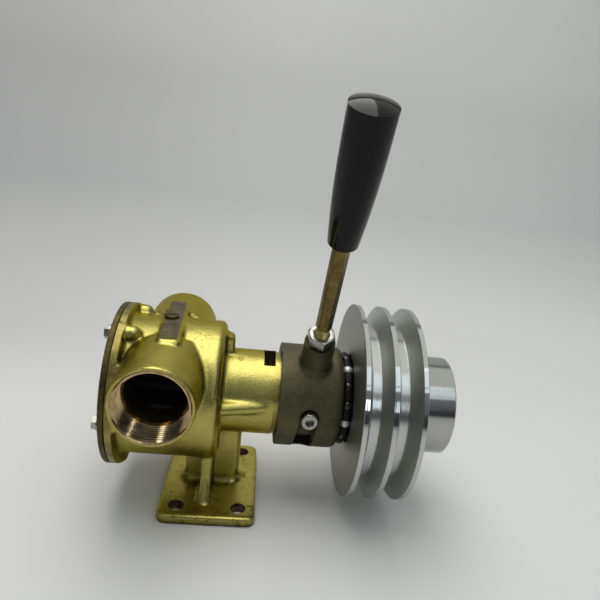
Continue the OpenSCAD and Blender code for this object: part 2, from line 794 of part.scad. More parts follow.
module bearing_spacer() {
    color(steel) turned()
        band(bearing_od / 2 - 3, bearing_od / 2 - 0.02, bearing_1_x + bearing_w, bearing_2_x);
}

module bearing_circlip() {
    clip_r = bearing_od / 2 + 1.1;
    color(black_steel) difference() {
        turned() band(bearing_od / 2 - 2.6, clip_r, circlip_x, circlip_x + circlip_t);
        around_shaft(180, 0, circlip_x - cut)
            translate([0, -4, 0]) cube([circlip_t + 2 * cut, 8, clip_r + cut]);
    }
}

module follower_bush() {
    color(machined_bronze)
        around_shaft(follower_angle, journal_d / 2 + running_gap, follower_x) difference() {
            cylinder(d = follower_bush_d, h = follower_bush_h);
            translate([0, 0, -cut])
                cylinder(r = follower_screw_d / 2 + screw_gap, h = follower_bush_h + 2 * cut);
        }
}

module follower_screw() {
    seat = journal_d / 2 + running_gap + follower_bush_h;
    socket_af = 6;
    color(zinc) around_shaft(follower_angle, 0, follower_x) difference() {
        union() {
            translate([0, 0, bearing_od / 2 + 0.2])
                cylinder(d = follower_screw_d, h = seat - bearing_od / 2);
            translate([0, 0, seat]) rotate_extrude()
                round_band(follower_head_d / 2, 0, follower_head_h, 0, 0.8);
        }
        translate([0, 0, seat + follower_head_h - 4]) rotate([0, 0, 15])
            hex_prism(socket_af, 4 + cut);
    }
}

// ---------- shaft ----------

module pump_shaft() {
    thread_d = cone_seat_d - 1;
    key_len = cone_len - cone_recess;
    color(steel) difference() {
        turned() {
            band(0, impeller_seat_d / 2, shaft_start_x + chamfer, wear_face_x);
            band(0, impeller_seat_d / 2 - chamfer, shaft_start_x, wear_face_x);
            band(0, shaft_d / 2, impeller_end_x, cone_back_x);
            band(0, shaft_shoulder_d / 2, bearing_1_x + bearing_w, bearing_2_x);
            band(0, cone_seat_d / 2, cone_back_x - bite, nut_x - shaft_washer_t - 0.5);
            band(0, thread_d / 2, nut_x - shaft_washer_t - bite, shaft_end_x - chamfer);
            band(0, thread_d / 2 - chamfer, nut_x, shaft_end_x);
        }
        around_shaft(0, cone_seat_d / 2 - key_w / 2, cone_back_x)
            translate([0, -key_w / 2, 0]) cube([key_len, key_w, key_w]);
        around_shaft(0, impeller_seat_d / 2 - key_w / 2, impeller_face_x)
            translate([0, -key_w / 2, 0])
                cube([impeller_end_x - impeller_face_x, key_w, key_w]);
    }
}

module impeller_key() {
    color(steel) around_shaft(0, impeller_seat_d / 2 - key_w / 2, impeller_face_x + 4)
        translate([0, -key_w / 2, 0])
            cube([impeller_end_x - impeller_face_x - 8, key_w, key_w - 0.5]);
}

module cone_key() {
    color(steel) around_shaft(0, cone_seat_d / 2 - key_w / 2, cone_back_x)
        translate([0, -key_w / 2, 0]) cube([cone_len - cone_recess, key_w, key_w - 0.1]);
}

module impeller_sleeve() {
    color(brass) difference() {
        turned() band(impeller_seat_d / 2, sleeve_d / 2, impeller_face_x, impeller_end_x);
        around_shaft(0, 0, impeller_face_x - cut) translate([0, -key_w / 2, 0])
            cube([impeller_end_x - impeller_face_x + 2 * cut, key_w,
                  impeller_seat_d / 2 + key_w / 2]);
    }
}

// Free radius at an angle from straight up, inside the chamber or under the cam
cam_centre = chamber_d / 2 - cam_t - cam_face_r;
function cam_reach(a) =
    cam_centre * cos(a) + sqrt(pow(cam_face_r, 2) - pow(cam_centre * sin(a), 2));
function blade_reach(a) =
    (abs(chamber_d / 2 * sin(a)) < cam_w / 2 + blade_bead_d && cos(a) > 0)
        ? cam_reach(a) : chamber_d / 2;

// Centre line of a blade bent through an angle, as [radial, sideways]
blade_len = chamber_d / 2 - rubber_gap - blade_bead_d / 2 - impeller_hub_d / 2 + bite;
function blade_at(bend, s) = bend < 0.5
    ? [impeller_hub_d / 2 - bite + s, 0]
    : let (bow = blade_len / (bend * PI / 180))
      [impeller_hub_d / 2 - bite + bow * sin(bend * s / blade_len),
       bow * (1 - cos(bend * s / blade_len))];

// Smallest bend that brings the blade's tip down to a radius
function bend_for(reach, low = 0.5, high = 110, steps = 16) =
    steps == 0 ? (low < 1 ? 0 : high)
    : let (mid = (low + high) / 2)
      norm(blade_at(mid, blade_len)) > reach
          ? bend_for(reach, mid, high, steps - 1)
          : bend_for(reach, low, mid, steps - 1);

module blade(angle, width) {
    steps = 6;
    tip_angle = angle + 14;
    reach = min(blade_reach(angle), blade_reach(tip_angle), blade_reach(angle + 30))
        - rubber_gap - blade_bead_d / 2;
    bend = reach > norm(blade_at(0, blade_len)) - 0.01 ? 0 : bend_for(reach);
    line = [for (i = [0:steps]) blade_at(bend, blade_len * i / steps)];
    half_t = [for (i = [0:steps])
        (blade_root_t + (blade_tip_t - blade_root_t) * i / steps) / 2];
    side = [for (i = [0:steps]) let (turn = bend * i / steps) [-sin(turn), cos(turn)]];
    rotate([0, 0, 90 - angle]) mirror([0, 1, 0]) {
        linear_extrude(width) polygon(concat(
            [for (i = [0:steps]) line[i] + half_t[i] * side[i]],
            [for (i = [steps:-1:0]) line[i] - half_t[i] * side[i]]
        ));
        translate([line[steps][0], line[steps][1], 0]) cylinder(d = blade_bead_d, h = width);
    }
}

module impeller() {
    first = 180 / blade_count;
    width = impeller_end_x - impeller_face_x;
    color(rubber) translate([impeller_face_x, 0, shaft_h]) rotate([90, 0, 90])
        difference() {
            union() {
                cylinder(d = impeller_hub_d, h = width);
                for (k = [0:blade_count - 1]) blade(first + 360 * k / blade_count, width);
            }
            translate([0, 0, -cut]) cylinder(d = sleeve_d, h = width + 2 * cut);
        }
}

module slinger() {
    color(rubber) turned() {
        band(shaft_d / 2, slinger_d / 2 - 2.5,
             drain_slot_x - slinger_w / 2, drain_slot_x + slinger_w / 2);
        band(shaft_d / 2, slinger_d / 2, drain_slot_x - 1, drain_slot_x + 1);
    }
}

// Radius of the lining's face, and of the driven cone, at a place along the shaft
function lining_face_r(x) = cone_mouth_d / 2 - lining_t - (hub_end_x - x) * cone_slope;
function cone_r(x) = lining_face_r(x) - cone_rest_gap;

module clutch_cone() {
    recess_r = cone_r(cone_face_x) - 5;
    color(steel) difference() {
        turned() difference() {
            polygon([
                [0, cone_back_x], [cone_r(cone_back_x), cone_back_x],
                [cone_r(cone_face_x), cone_face_x], [0, cone_face_x]
            ]);
            band(0, recess_r, cone_face_x - cone_recess, cone_face_x + cut);
            band(0, cone_seat_d / 2 + 0.01, cone_back_x - cut, cone_face_x);
        }
        around_shaft(0, 0, cone_back_x - cut) translate([0, -key_w / 2, 0])
            cube([cone_len + cut, key_w, cone_seat_d / 2 + key_w / 2]);
    }
}

module shaft_washer() {
    color(zinc) turned() band(cone_seat_d / 2, shaft_nut_af / 2 + 1,
                              nut_x - shaft_washer_t, nut_x);
}

module shaft_nut() {
    color(zinc) translate([nut_x, 0, shaft_h]) rotate([0, 90, 0]) difference() {
        turned_hexagon(shaft_nut_af, shaft_nut_t);
        translate([0, 0, -cut]) cylinder(d = cone_seat_d - 1, h = shaft_nut_t + 2 * cut);
    }
}

module release_spring() {
    sides = 6;
    per_turn = 12;
    wire_r = spring_wire_d / 2;
    coil_r = bush_od / 2 - wire_r - 0.6;
    start = bush_end_x + spring_seat_t + wire_r + 0.15;
    stop = cone_back_x - wire_r - 0.15;
    rings = floor(spring_turns * per_turn) + 1;
    color(steel) translate([0, 0, shaft_h]) polyhedron(
        points = [for (i = [0:rings - 1], k = [0:sides - 1])
            let (turn = 360 * i / per_turn, wall = 360 * k / sides,
                 r = coil_r + wire_r * cos(wall),
                 x = start + (stop - start) * i / (rings - 1) + wire_r * sin(wall))
            [x, r * cos(turn), r * sin(turn)]],
        faces = tube_faces(rings, sides)
    );
}

// ---------- thrust bearing ----------

module race_profile(x) {
    difference() {
        band(race_id / 2, race_od / 2, x, x + race_t);
        translate([thrust_pitch_d / 2, ball_mid_x]) circle(ball_groove_r);
    }
}

module thrust_race_rear() {
    color(steel) turned() race_profile(collar_end_x - race_t);
}

module thrust_race_front() {
    color(steel) turned() race_profile(pulley_x);
}

module at_thrust_balls() {
    for (k = [0:thrust_ball_count - 1])
        around_shaft(thrust_ball_phase + 360 * k / thrust_ball_count, thrust_pitch_d / 2,
                     ball_mid_x) children();
}

module thrust_cage() {
    color(black_steel) difference() {
        turned() difference() {
            round_band(cage_od / 2, collar_end_x + free_gap, pulley_x - free_gap,
                       cage_edge_r, cage_edge_r);
            band(0, race_id / 2 + 0.5, collar_end_x, pulley_x);
        }
        at_thrust_balls() sphere(thrust_ball_d / 2 + 0.15, $fn = 48);
    }
}

module thrust_balls() {
    color(steel) at_thrust_balls() sphere(d = thrust_ball_d, $fn = 48);
}

// ---------- clutch collar and lever ----------

module on_lever(reach = 0) {
    around_shaft(lever_tilt, reach, lever_x) children();
}

// Point of the cam slot's wall: s is the distance along the slot from a section's middle
function slot_point(x, angle, s, r) =
    [x, -s * cos(angle) - r * sin(angle), -s * sin(angle) + r * cos(angle)];

// The slot as a milling cutter leaves it: round ends, walls square to the shaft axis
module cam_slot() {
    cutter_r = slot_w / 2;
    low_r = collar_bore_r - 2;
    high_r = collar_d / 2 + 2;
    end_steps = 8;
    sweep_steps = ceil(lever_throw / 6);
    shape = concat(
        [for (i = [0:end_steps]) let (t = 8 + 82 * i / end_steps)
            [0, -cutter_r * cos(t), cutter_r * sin(t)]],
        [for (i = [1:sweep_steps - 1]) [i / sweep_steps, 0, cutter_r]],
        [for (i = [0:end_steps]) let (t = 82 * i / end_steps)
            [1, cutter_r * sin(t), cutter_r * cos(t)]]
    );
    translate([0, 0, shaft_h]) polyhedron(
        points = [for (c = shape)
            let (x = follower_x - clutch_travel * c[0],
                 angle = follower_angle + lever_throw * c[0])
            each [
                slot_point(x + c[2], angle, c[1], low_r),
                slot_point(x - c[2], angle, c[1], low_r),
                slot_point(x - c[2], angle, c[1], high_r),
                slot_point(x + c[2], angle, c[1], high_r)
            ]],
        faces = tube_faces(len(shape), 4)
    );
}

module clutch_collar() {
    root_r = lever_boss_d / 2 + 2.2;
    root_reach = collar_d / 2 - 1.5;
    color(cast_bronze) difference() {
        union() {
            turned() round_band(collar_d / 2, collar_x, collar_end_x, 0.3, collar_edge_r);
            on_lever() {
                cylinder(d = lever_boss_d, h = lever_boss_reach - 0.8);
                cylinder(d = lever_boss_d - 1.6, h = lever_boss_reach);
                translate([0, 0, root_reach])
                    cylinder(r1 = root_r, r2 = lever_boss_d / 2 - 0.01, h = 3.4);
                cylinder(r = root_r, h = root_reach);
            }
        }
        turned() {
            band(0, collar_bore_r, collar_x - cut, collar_end_x + cut);
            band(0, race_od / 2 + running_gap, collar_end_x - race_t - 0.05,
                 collar_end_x + cut);
        }
        on_lever(collar_bore_r + 3)
            cylinder(r = rod_thread_d / 2 + screw_gap, h = lever_boss_reach);
        cam_slot();
    }
}

module lever_locknut() {
    color(zinc) on_lever(lever_boss_reach) rotate([0, 0, -24]) difference() {
        turned_hexagon(locknut_af, locknut_t, true);
        translate([0, 0, -cut])
            cylinder(r = rod_thread_d / 2 + screw_gap, h = locknut_t + 2 * cut);
    }
}

rod_foot = collar_bore_r + 3.5;
hexagon_foot = lever_boss_reach + locknut_t + rod_thread_view;
grip_foot = hexagon_foot + rod_len - 8;
rod_tip = hexagon_foot + rod_len + 14;

module lever_rod() {
    color(brass) {
        on_lever(rod_foot) cylinder(d = rod_thread_d, h = hexagon_foot - rod_foot + bite);
        on_lever(hexagon_foot) rotate([0, 0, -9]) hex_prism(rod_af, rod_len);
        on_lever(hexagon_foot + bite)
            cylinder(d = rod_thread_d - 1.4, h = rod_tip - hexagon_foot - bite);
    }
}

// Radius of the grip at a share of its length: full at the top, drawn in below
function grip_r(share) =
    grip_top_d / 2 - (grip_top_d - grip_bottom_d) / 2 * pow(1 - share, 2.4);

module lever_grip() {
    steps = 14;
    side_len = grip_len - grip_dome_h;
    edge_r = 1.2;
    dome_r = (pow(grip_top_d / 2, 2) + pow(grip_dome_h, 2)) / (2 * grip_dome_h);
    color(plastic) on_lever(grip_foot) difference() {
        rotate_extrude() {
            intersection() {
                polygon(concat(
                    [[0, 0], [grip_bottom_d / 2 - edge_r, 0]],
                    [for (i = [0:steps])
                        let (share = i / steps)
                        [grip_r(share), edge_r + (side_len - edge_r) * share]],
                    [[grip_top_d / 2, grip_len], [0, grip_len]]
                ));
                union() {
                    band(0, grip_top_d, 0, side_len - 1);
                    translate([0, grip_len - dome_r]) circle(dome_r, $fn = 360);
                }
            }
            translate([grip_bottom_d / 2 - edge_r, edge_r]) circle(edge_r);
        }
        translate([0, 0, -cut]) rotate([0, 0, -9]) hex_prism(rod_af + 0.1, 8 + cut + 0.1);
        cylinder(d = rod_thread_d - 1.3, h = rod_tip - grip_foot + 0.3);
    }
}

// ---------- pulley ----------

module pulley_profile() {
    rim_r = pulley_d / 2;
    floor_half = (groove_pitch - land_w) / 2 - groove_depth * tan(groove_angle / 2);
    difference() {
        union() {
            polygon([
                [0, pulley_x], [rim_r - 0.3, pulley_x], [rim_r, pulley_x + 0.3],
                [rim_r, last_land_x - 0.3], [rim_r - 0.3, last_land_x], [0, last_land_x]
            ]);
            band(0, hub_d / 2, last_land_x - bite, hub_end_x - chamfer);
            polygon([
                [0, hub_end_x - chamfer], [hub_d / 2, hub_end_x - chamfer],
                [hub_d / 2 - chamfer, hub_end_x], [0, hub_end_x]
            ]);
        }
        for (k = [0:groove_count - 1])
            let (mid = pulley_x + land_w / 2 + groove_pitch * (k + 0.5),
                 top_half = (groove_pitch - land_w) / 2)
            polygon([
                [rim_r - groove_depth, mid - floor_half],
                [rim_r - groove_depth, mid + floor_half],
                [rim_r, mid + top_half], [rim_r + cut, mid + top_half],
                [rim_r + cut, mid - top_half], [rim_r, mid - top_half]
            ]);
    }
}

cavity_end_x = cone_back_x - clutch_travel - 1;
function cavity_r(x) = cone_mouth_d / 2 - (hub_end_x - x) * cone_slope;

module belt_pulley() {
    color(aluminium) turned() difference() {
        pulley_profile();
        band(0, race_od / 2 + 0.02, pulley_x - cut, pulley_x + race_t);
        band(0, bush_od / 2, pulley_x, cone_back_x);
        band(0, bush_od / 2 + 1.5, bush_end_x, cone_back_x);
        polygon([
            [0, cavity_end_x], [cavity_r(cavity_end_x), cavity_end_x],
            [cavity_r(hub_end_x + cut), hub_end_x + cut], [0, hub_end_x + cut]
        ]);
    }
}

module pulley_bush() {
    color(machined_bronze) turned()
        band(shaft_d / 2 + running_gap, bush_od / 2 - 0.01, bush_x, bush_end_x);
}

module spring_seat() {
    color(steel) turned() band(shaft_d / 2 + free_gap, bush_od / 2 + 1,
                               bush_end_x, bush_end_x + spring_seat_t);
}

module clutch_lining() {
    lining_back_x = cavity_end_x + 0.5;
    lining_front_x = hub_end_x - 1;
    skin = 0.02;
    color(lining_brown) turned() polygon([
        [cavity_r(lining_back_x) - lining_t, lining_back_x],
        [cavity_r(lining_back_x) - skin, lining_back_x],
        [cavity_r(lining_front_x) - skin, lining_front_x],
        [cavity_r(lining_front_x) - lining_t, lining_front_x]
    ]);
}

pump_body();
end_cover();
cover_gasket();
cover_screws();
cover_washers();
cam();
cam_screw();
cam_ring();
wear_plate();
shaft_seal();
bearing_outer_rings();
bearing_balls();
bearing_spacer();
bearing_circlip();
follower_screw();
follower_bush();
pump_shaft();
impeller();
impeller_sleeve();
impeller_key();
slinger();
bearing_inner_rings();
clutch_cone();
cone_key();
shaft_washer();
shaft_nut();
release_spring();
thrust_race_rear();
thrust_cage();
thrust_balls();
clutch_collar();
lever_locknut();
lever_rod();
lever_grip();
belt_pulley();
pulley_bush();
spring_seat();
thrust_race_front();
clutch_lining();
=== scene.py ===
import bpy
import json
import math
from mathutils import Matrix, Vector


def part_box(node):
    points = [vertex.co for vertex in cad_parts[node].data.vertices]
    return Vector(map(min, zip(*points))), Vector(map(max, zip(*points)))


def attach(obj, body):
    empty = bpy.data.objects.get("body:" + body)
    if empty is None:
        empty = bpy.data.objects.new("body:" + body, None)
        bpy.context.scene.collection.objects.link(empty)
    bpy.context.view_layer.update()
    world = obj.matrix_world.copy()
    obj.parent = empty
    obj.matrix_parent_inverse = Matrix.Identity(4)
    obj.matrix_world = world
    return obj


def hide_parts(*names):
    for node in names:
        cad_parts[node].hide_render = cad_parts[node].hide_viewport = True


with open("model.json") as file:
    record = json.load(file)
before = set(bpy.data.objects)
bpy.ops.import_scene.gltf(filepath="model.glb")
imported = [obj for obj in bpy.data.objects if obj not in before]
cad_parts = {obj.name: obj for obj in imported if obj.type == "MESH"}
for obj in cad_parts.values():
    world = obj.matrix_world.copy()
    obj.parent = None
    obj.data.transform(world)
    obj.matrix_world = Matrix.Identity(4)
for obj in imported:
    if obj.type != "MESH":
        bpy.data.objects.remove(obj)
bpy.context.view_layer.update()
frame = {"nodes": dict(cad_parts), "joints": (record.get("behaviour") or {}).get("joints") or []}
nodes = frame["nodes"]
mm = 0.001
leverLean = math.radians(25.8)                   # of the lever from straight up, at rest
shaftZ = frame["joints"][0]["pos_m"][2]          # height of the shaft axis
print("frame loaded,", len(nodes), "nodes")

cameraPlace = {                                  # metres and degrees, and the lens in millimetres
    "place": (0.01634, -0.37203, 0.27253),
    "yaw": 5.469, "pitch": 17.271, "roll": 6.861,
    "lens": 33.365,
}


def makeCamera(c):
    yaw, pitch, roll = (math.radians(c[k]) for k in ("yaw", "pitch", "roll"))
    ahead = Vector((math.sin(yaw) * math.cos(pitch), math.cos(yaw) * math.cos(pitch), -math.sin(pitch)))
    right = Vector((math.cos(yaw), -math.sin(yaw), 0))
    down = ahead.cross(right)
    right, down = (right * math.cos(roll) - down * math.sin(roll),
                   right * math.sin(roll) + down * math.cos(roll))
    turn = Matrix((right, -down, -ahead)).transposed().to_4x4()
    bpy.ops.object.camera_add()
    camera = bpy.context.object
    camera.name = "camera"
    camera.matrix_world = Matrix.Translation(c["place"]) @ turn
    camera.data.lens = c["lens"]
    camera.data.sensor_width = 36
    camera.data.clip_start = 0.01
    bpy.context.scene.camera = camera


makeCamera(cameraPlace)


def pick(piece):                                 # makes it the one selected, active object
    if bpy.context.object and bpy.context.object.mode != "OBJECT":
        bpy.ops.object.mode_set(mode="OBJECT")
    bpy.ops.object.select_all(action="DESELECT")
    piece.hide_set(False)
    piece.select_set(True)
    bpy.context.view_layer.objects.active = piece
    return piece


def settle(piece):                               # the object's place goes into its mesh
    pick(piece)
    bpy.ops.object.transform_apply(location=True, rotation=True, scale=True)
    return piece


def modify(piece, kind, **settings):
    pick(piece)
    modifier = piece.modifiers.new(kind.lower(), kind)
    for key, value in settings.items():
        setattr(modifier, key, value)
    bpy.ops.object.modifier_apply(modifier=modifier.name)
    return piece


def rod(name, start, end, radius, sides=96, tipRadius=None):
    start, end = Vector(start), Vector(end)
    turn = (end - start).to_track_quat("Z", "Y").to_euler()
    bpy.ops.object.select_all(action="DESELECT")
    if tipRadius is None:
        bpy.ops.mesh.primitive_cylinder_add(vertices=sides, radius=radius, depth=(end - start).length,
                                            location=(start + end) / 2, rotation=turn)
    else:
        bpy.ops.mesh.primitive_cone_add(vertices=sides, radius1=radius, radius2=tipRadius,
                                        depth=(end - start).length, location=(start + end) / 2, rotation=turn)
    bpy.context.object.name = name
    return settle(bpy.context.object)


def block(name, low, high):
    low, high = Vector(low), Vector(high)
    bpy.ops.object.select_all(action="DESELECT")
    bpy.ops.mesh.primitive_cube_add(size=1, location=(low + high) / 2)
    bpy.context.object.scale = high - low
    bpy.context.object.name = name
    return settle(bpy.context.object)


def lathe(name, stations, sides=96):             # (along, radius) pairs, turned about Z from the origin
    along, radius = stations[0]
    bpy.ops.object.select_all(action="DESELECT")
    bpy.ops.mesh.primitive_circle_add(vertices=sides, radius=radius, fill_type="NGON", location=(0, 0, along))
    piece = settle(bpy.context.object)
    piece.name = name
    bpy.ops.object.mode_set(mode="EDIT")
    bpy.ops.mesh.select_mode(type="FACE")
    bpy.ops.mesh.select_all(action="SELECT")
    for nextAlong, nextRadius in stations[1:]:
        bpy.ops.mesh.extrude_region_move(TRANSFORM_OT_translate={"value": (0, 0, nextAlong - along)})
        factor = nextRadius / radius
        bpy.ops.transform.resize(value=(factor, factor, 1), center_override=(0, 0, nextAlong))
        along, radius = nextAlong, nextRadius
    bpy.ops.mesh.select_all(action="SELECT")
    bpy.ops.mesh.normals_make_consistent(inside=False)
    bpy.ops.object.mode_set(mode="OBJECT")
    return piece


def stand(piece, start, toward, spin=0):         # puts a piece made along Z at its place and direction
    turn = Vector(toward).to_track_quat("Z", "Y").to_matrix().to_4x4()
    piece.data.transform(Matrix.Translation(start) @ turn @ Matrix.Rotation(math.radians(spin), 4, "Z"))
    return piece


def turned(name, stations):                      # (x, radius) pairs, turned about the shaft
    return stand(lathe(name, stations), (0, 0, shaftZ), (1, 0, 0))


def turnedBar(name, start, end, radius):
    return turned(name, [(start, radius), (end, radius)])


def cut(piece, *tools, how="DIFFERENCE"):
    for tool in tools:
        modify(piece, "BOOLEAN", object=tool, operation=how, solver="MANIFOLD")
        bpy.data.objects.remove(tool)
    return piece


def join(piece, *others):
    pick(piece)
    for other in others:
        other.select_set(True)
    bpy.ops.object.join()
    return piece


def copyNode(name, newName):                     # a welded copy of a CAD node's mesh
    piece = nodes[name].copy()
    piece.data = nodes[name].data.copy()
    piece.name = newName
    piece.parent = None
    for key in list(piece.keys()):
        del piece[key]
    bpy.context.collection.objects.link(piece)
    pick(piece)
    bpy.ops.object.mode_set(mode="EDIT")
    bpy.ops.mesh.select_all(action="SELECT")
    bpy.ops.mesh.remove_doubles(threshold=0.000005)
    bpy.ops.object.mode_set(mode="OBJECT")
    return piece


def smoothBy(piece, degrees):
    pick(piece)
    bpy.ops.object.shade_smooth_by_angle(angle=math.radians(degrees))
    return piece


def threadForm(name, length, core, depth, pitch, sides=96):
    # a closed rod along Z with one continuous ridge wound round it
    bpy.ops.object.select_all(action="DESELECT")
    bpy.ops.mesh.primitive_plane_add(size=1)
    ridge = bpy.context.object
    half = 0.46 * pitch
    corners = ((core - 0.3 * depth, -1.15 * half), (core - 0.3 * depth, 1.15 * half),
               (core + depth, 0.2 * half), (core + depth, -0.2 * half))
    for index, (radius, along) in zip((0, 2, 3, 1), corners):
        ridge.data.vertices[index].co = (radius, 0, along)
    bpy.ops.object.mode_set(mode="EDIT")
    bpy.ops.mesh.select_all(action="SELECT")
    bpy.ops.mesh.delete(type="ONLY_FACE")
    bpy.ops.object.mode_set(mode="OBJECT")
    modify(ridge, "SCREW", axis="Z", angle=2 * math.pi, screw_offset=pitch,
           iterations=round(length / pitch) + 2,
           steps=sides, render_steps=sides, use_merge_vertices=False)
    bpy.ops.object.mode_set(mode="EDIT")
    bpy.ops.mesh.select_mode(type="EDGE")
    bpy.ops.mesh.select_all(action="DESELECT")
    bpy.ops.mesh.select_non_manifold()
    bpy.ops.mesh.edge_face_add()
    bpy.ops.mesh.select_all(action="SELECT")
    bpy.ops.mesh.normals_make_consistent(inside=False)
    bpy.ops.object.mode_set(mode="OBJECT")
    piece = rod(name, (0, 0, 0), (0, 0, length), core, sides)
    cut(piece, ridge, how="UNION")
    cut(piece, rod("limit", (0, 0, 0), (0, 0, length), core + 2 * depth, 48), how="INTERSECT")
    return softenEdges(piece, 0.11 * pitch, 2, 25)


def easeWhere(piece, test, rounds):              # rounds the chosen places further
    group = piece.vertex_groups.new(name="ease")
    group.add([v.index for v in piece.data.vertices if test(v.co)], 1, "ADD")
    modify(piece, "SMOOTH", factor=0.5, iterations=rounds, vertex_group="ease")
    piece.vertex_groups.clear()


def sixSided(name, start, end, flats, spin):     # a hexagonal bar along Z
    piece = rod(name, (0, 0, start), (0, 0, end), flats / math.sqrt(3), 6)
    piece.data.transform(Matrix.Rotation(math.radians(spin + 30), 4, "Z"))
    return piece


def softenEdges(piece, width, segments=2, angle=30):
    return modify(piece, "BEVEL", width=width, segments=segments, limit_method="ANGLE",
                  angle_limit=math.radians(angle), harden_normals=False)


class Signal:                                    # one output socket that can be reckoned with
    def __init__(self, finish, socket):
        self.finish, self.socket = finish, socket

    def reckon(self, operation, *sockets):
        return self.finish.node("ShaderNodeMath", {"operation": operation}, sockets)

    def __add__(self, other): return self.reckon("ADD", self, other)
    def __radd__(self, other): return self.reckon("ADD", other, self)
    def __sub__(self, other): return self.reckon("SUBTRACT", self, other)
    def __rsub__(self, other): return self.reckon("SUBTRACT", other, self)
    def __mul__(self, other): return self.reckon("MULTIPLY", self, other)
    def __pow__(self, other): return self.reckon("POWER", self, other)
    def __gt__(self, other): return self.reckon("GREATER_THAN", self, other)
    def __lt__(self, other): return self.reckon("LESS_THAN", self, other)

    def fade(self, low, high):                   # 0 below low, 1 above high
        settings = {"interpolation_type": "SMOOTHSTEP", "clamp": True}
        return self.finish.node("ShaderNodeMapRange", settings, (self, low, high, 0, 1))


class Finish:                                    # one material and its node tree
    def __init__(self, name):
        self.material = bpy.data.materials.new(name)
        self.material.use_nodes = True
        self.tree = self.material.node_tree
        self.shader = self.tree.nodes["Principled BSDF"]
        self.place = self.node("ShaderNodeTexCoord", output="Object")

    def node(self, kind, settings=None, sockets=(), output=0):
        made = self.tree.nodes.new(kind)
        for key, value in (settings or {}).items():
            if key == "stops":
                self.setStops(made.color_ramp, value)
            else:
                setattr(made, key, value)
        pairs = sockets.items() if isinstance(sockets, dict) else enumerate(sockets)
        for key, value in pairs:
            self.feed(made.inputs[key], value)
        return Signal(self, made.outputs[output])

    def feed(self, socket, value):
        if isinstance(value, Signal):
            self.tree.links.new(value.socket, socket)
        elif value is not None:
            socket.default_value = value

    def setStops(self, ramp, stops):
        for place, colour in stops[2:]:
            ramp.elements.new(place)
        for element, (place, colour) in zip(ramp.elements, stops):
            element.position = place
            element.color = (*colour, 1)

    def noise(self, size, detail=3, rough=0.5, warp=0, place=None):
        sockets = {"Vector": place or self.place, "Scale": 1 / size, "Detail": detail,
                   "Roughness": rough, "Distortion": warp}
        return self.node("ShaderNodeTexNoise", {}, sockets, "Fac")

    def cells(self, size):                       # distance to the middle of the nearest cell
        sockets = {"Vector": self.place, "Scale": 1 / size}
        return self.node("ShaderNodeTexVoronoi", {}, sockets, "Distance")

    def stretch(self, scale):
        return self.node("ShaderNodeVectorMath", {"operation": "MULTIPLY"}, (self.place, scale))

    def part(self, axis):
        return self.node("ShaderNodeSeparateXYZ", {}, (self.place,), axis)

    def roundShaft(self):                        # distance from the shaft axis
        y = self.part("Y")
        z = self.part("Z") - shaftZ
        return (y * y + z * z) ** 0.5

    def toolRings(self, pitch, seed=0):          # rings left by a turning tool, about the shaft
        ring = self.node("ShaderNodeCombineXYZ", {}, (self.roundShaft(), self.part("X"), seed))
        return self.noise(pitch, 2, 0.6, 0, ring)

    def mixed(self, mask, first, second, how="MIX"):
        made = self.tree.nodes.new("ShaderNodeMix")
        made.data_type = "RGBA"
        made.blend_type = how
        for index, value in ((0, mask), (6, first), (7, second)):
            value = (*value, 1) if isinstance(value, tuple) and len(value) == 3 else value
            self.feed(made.inputs[index], value)
        return Signal(self, made.outputs[2])

    def ramp(self, value, *stops):
        return self.node("ShaderNodeValToRGB", {"stops": stops}, (value,), "Color")

    def near(self, centre, reach):               # 1 at a place, 0 beyond its reach
        away = self.node("ShaderNodeVectorMath", {"operation": "DISTANCE"}, (self.place, centre), "Value")
        return (reach - away).fade(0, 0.6 * reach)

    def cornerShade(self, reach):                    # ambient-occlusion mask for painting shade into corners: 1 in corners, 0 in the open
        return 1 - self.node("ShaderNodeAmbientOcclusion", {"samples": 6}, {"Distance": reach}, "AO")

    def relief(self, height, depth, strength):
        sockets = {"Strength": strength, "Distance": depth, "Height": height}
        return self.node("ShaderNodeBump", {}, sockets, "Normal")

    def set(self, **sockets):
        names = {"colour": "Base Color", "rough": "Roughness", "metal": "Metallic",
                 "normal": "Normal", "specular": "Specular IOR Level", "edgeTint": "Specular Tint"}
        for key, value in sockets.items():
            value = (*value, 1) if isinstance(value, tuple) and len(value) == 3 else value
            self.feed(self.shader.inputs[names[key]], value)
        return self.material


def dress(piece, *materials):
    piece.data.materials.clear()
    for material in materials:
        piece.data.materials.append(material)


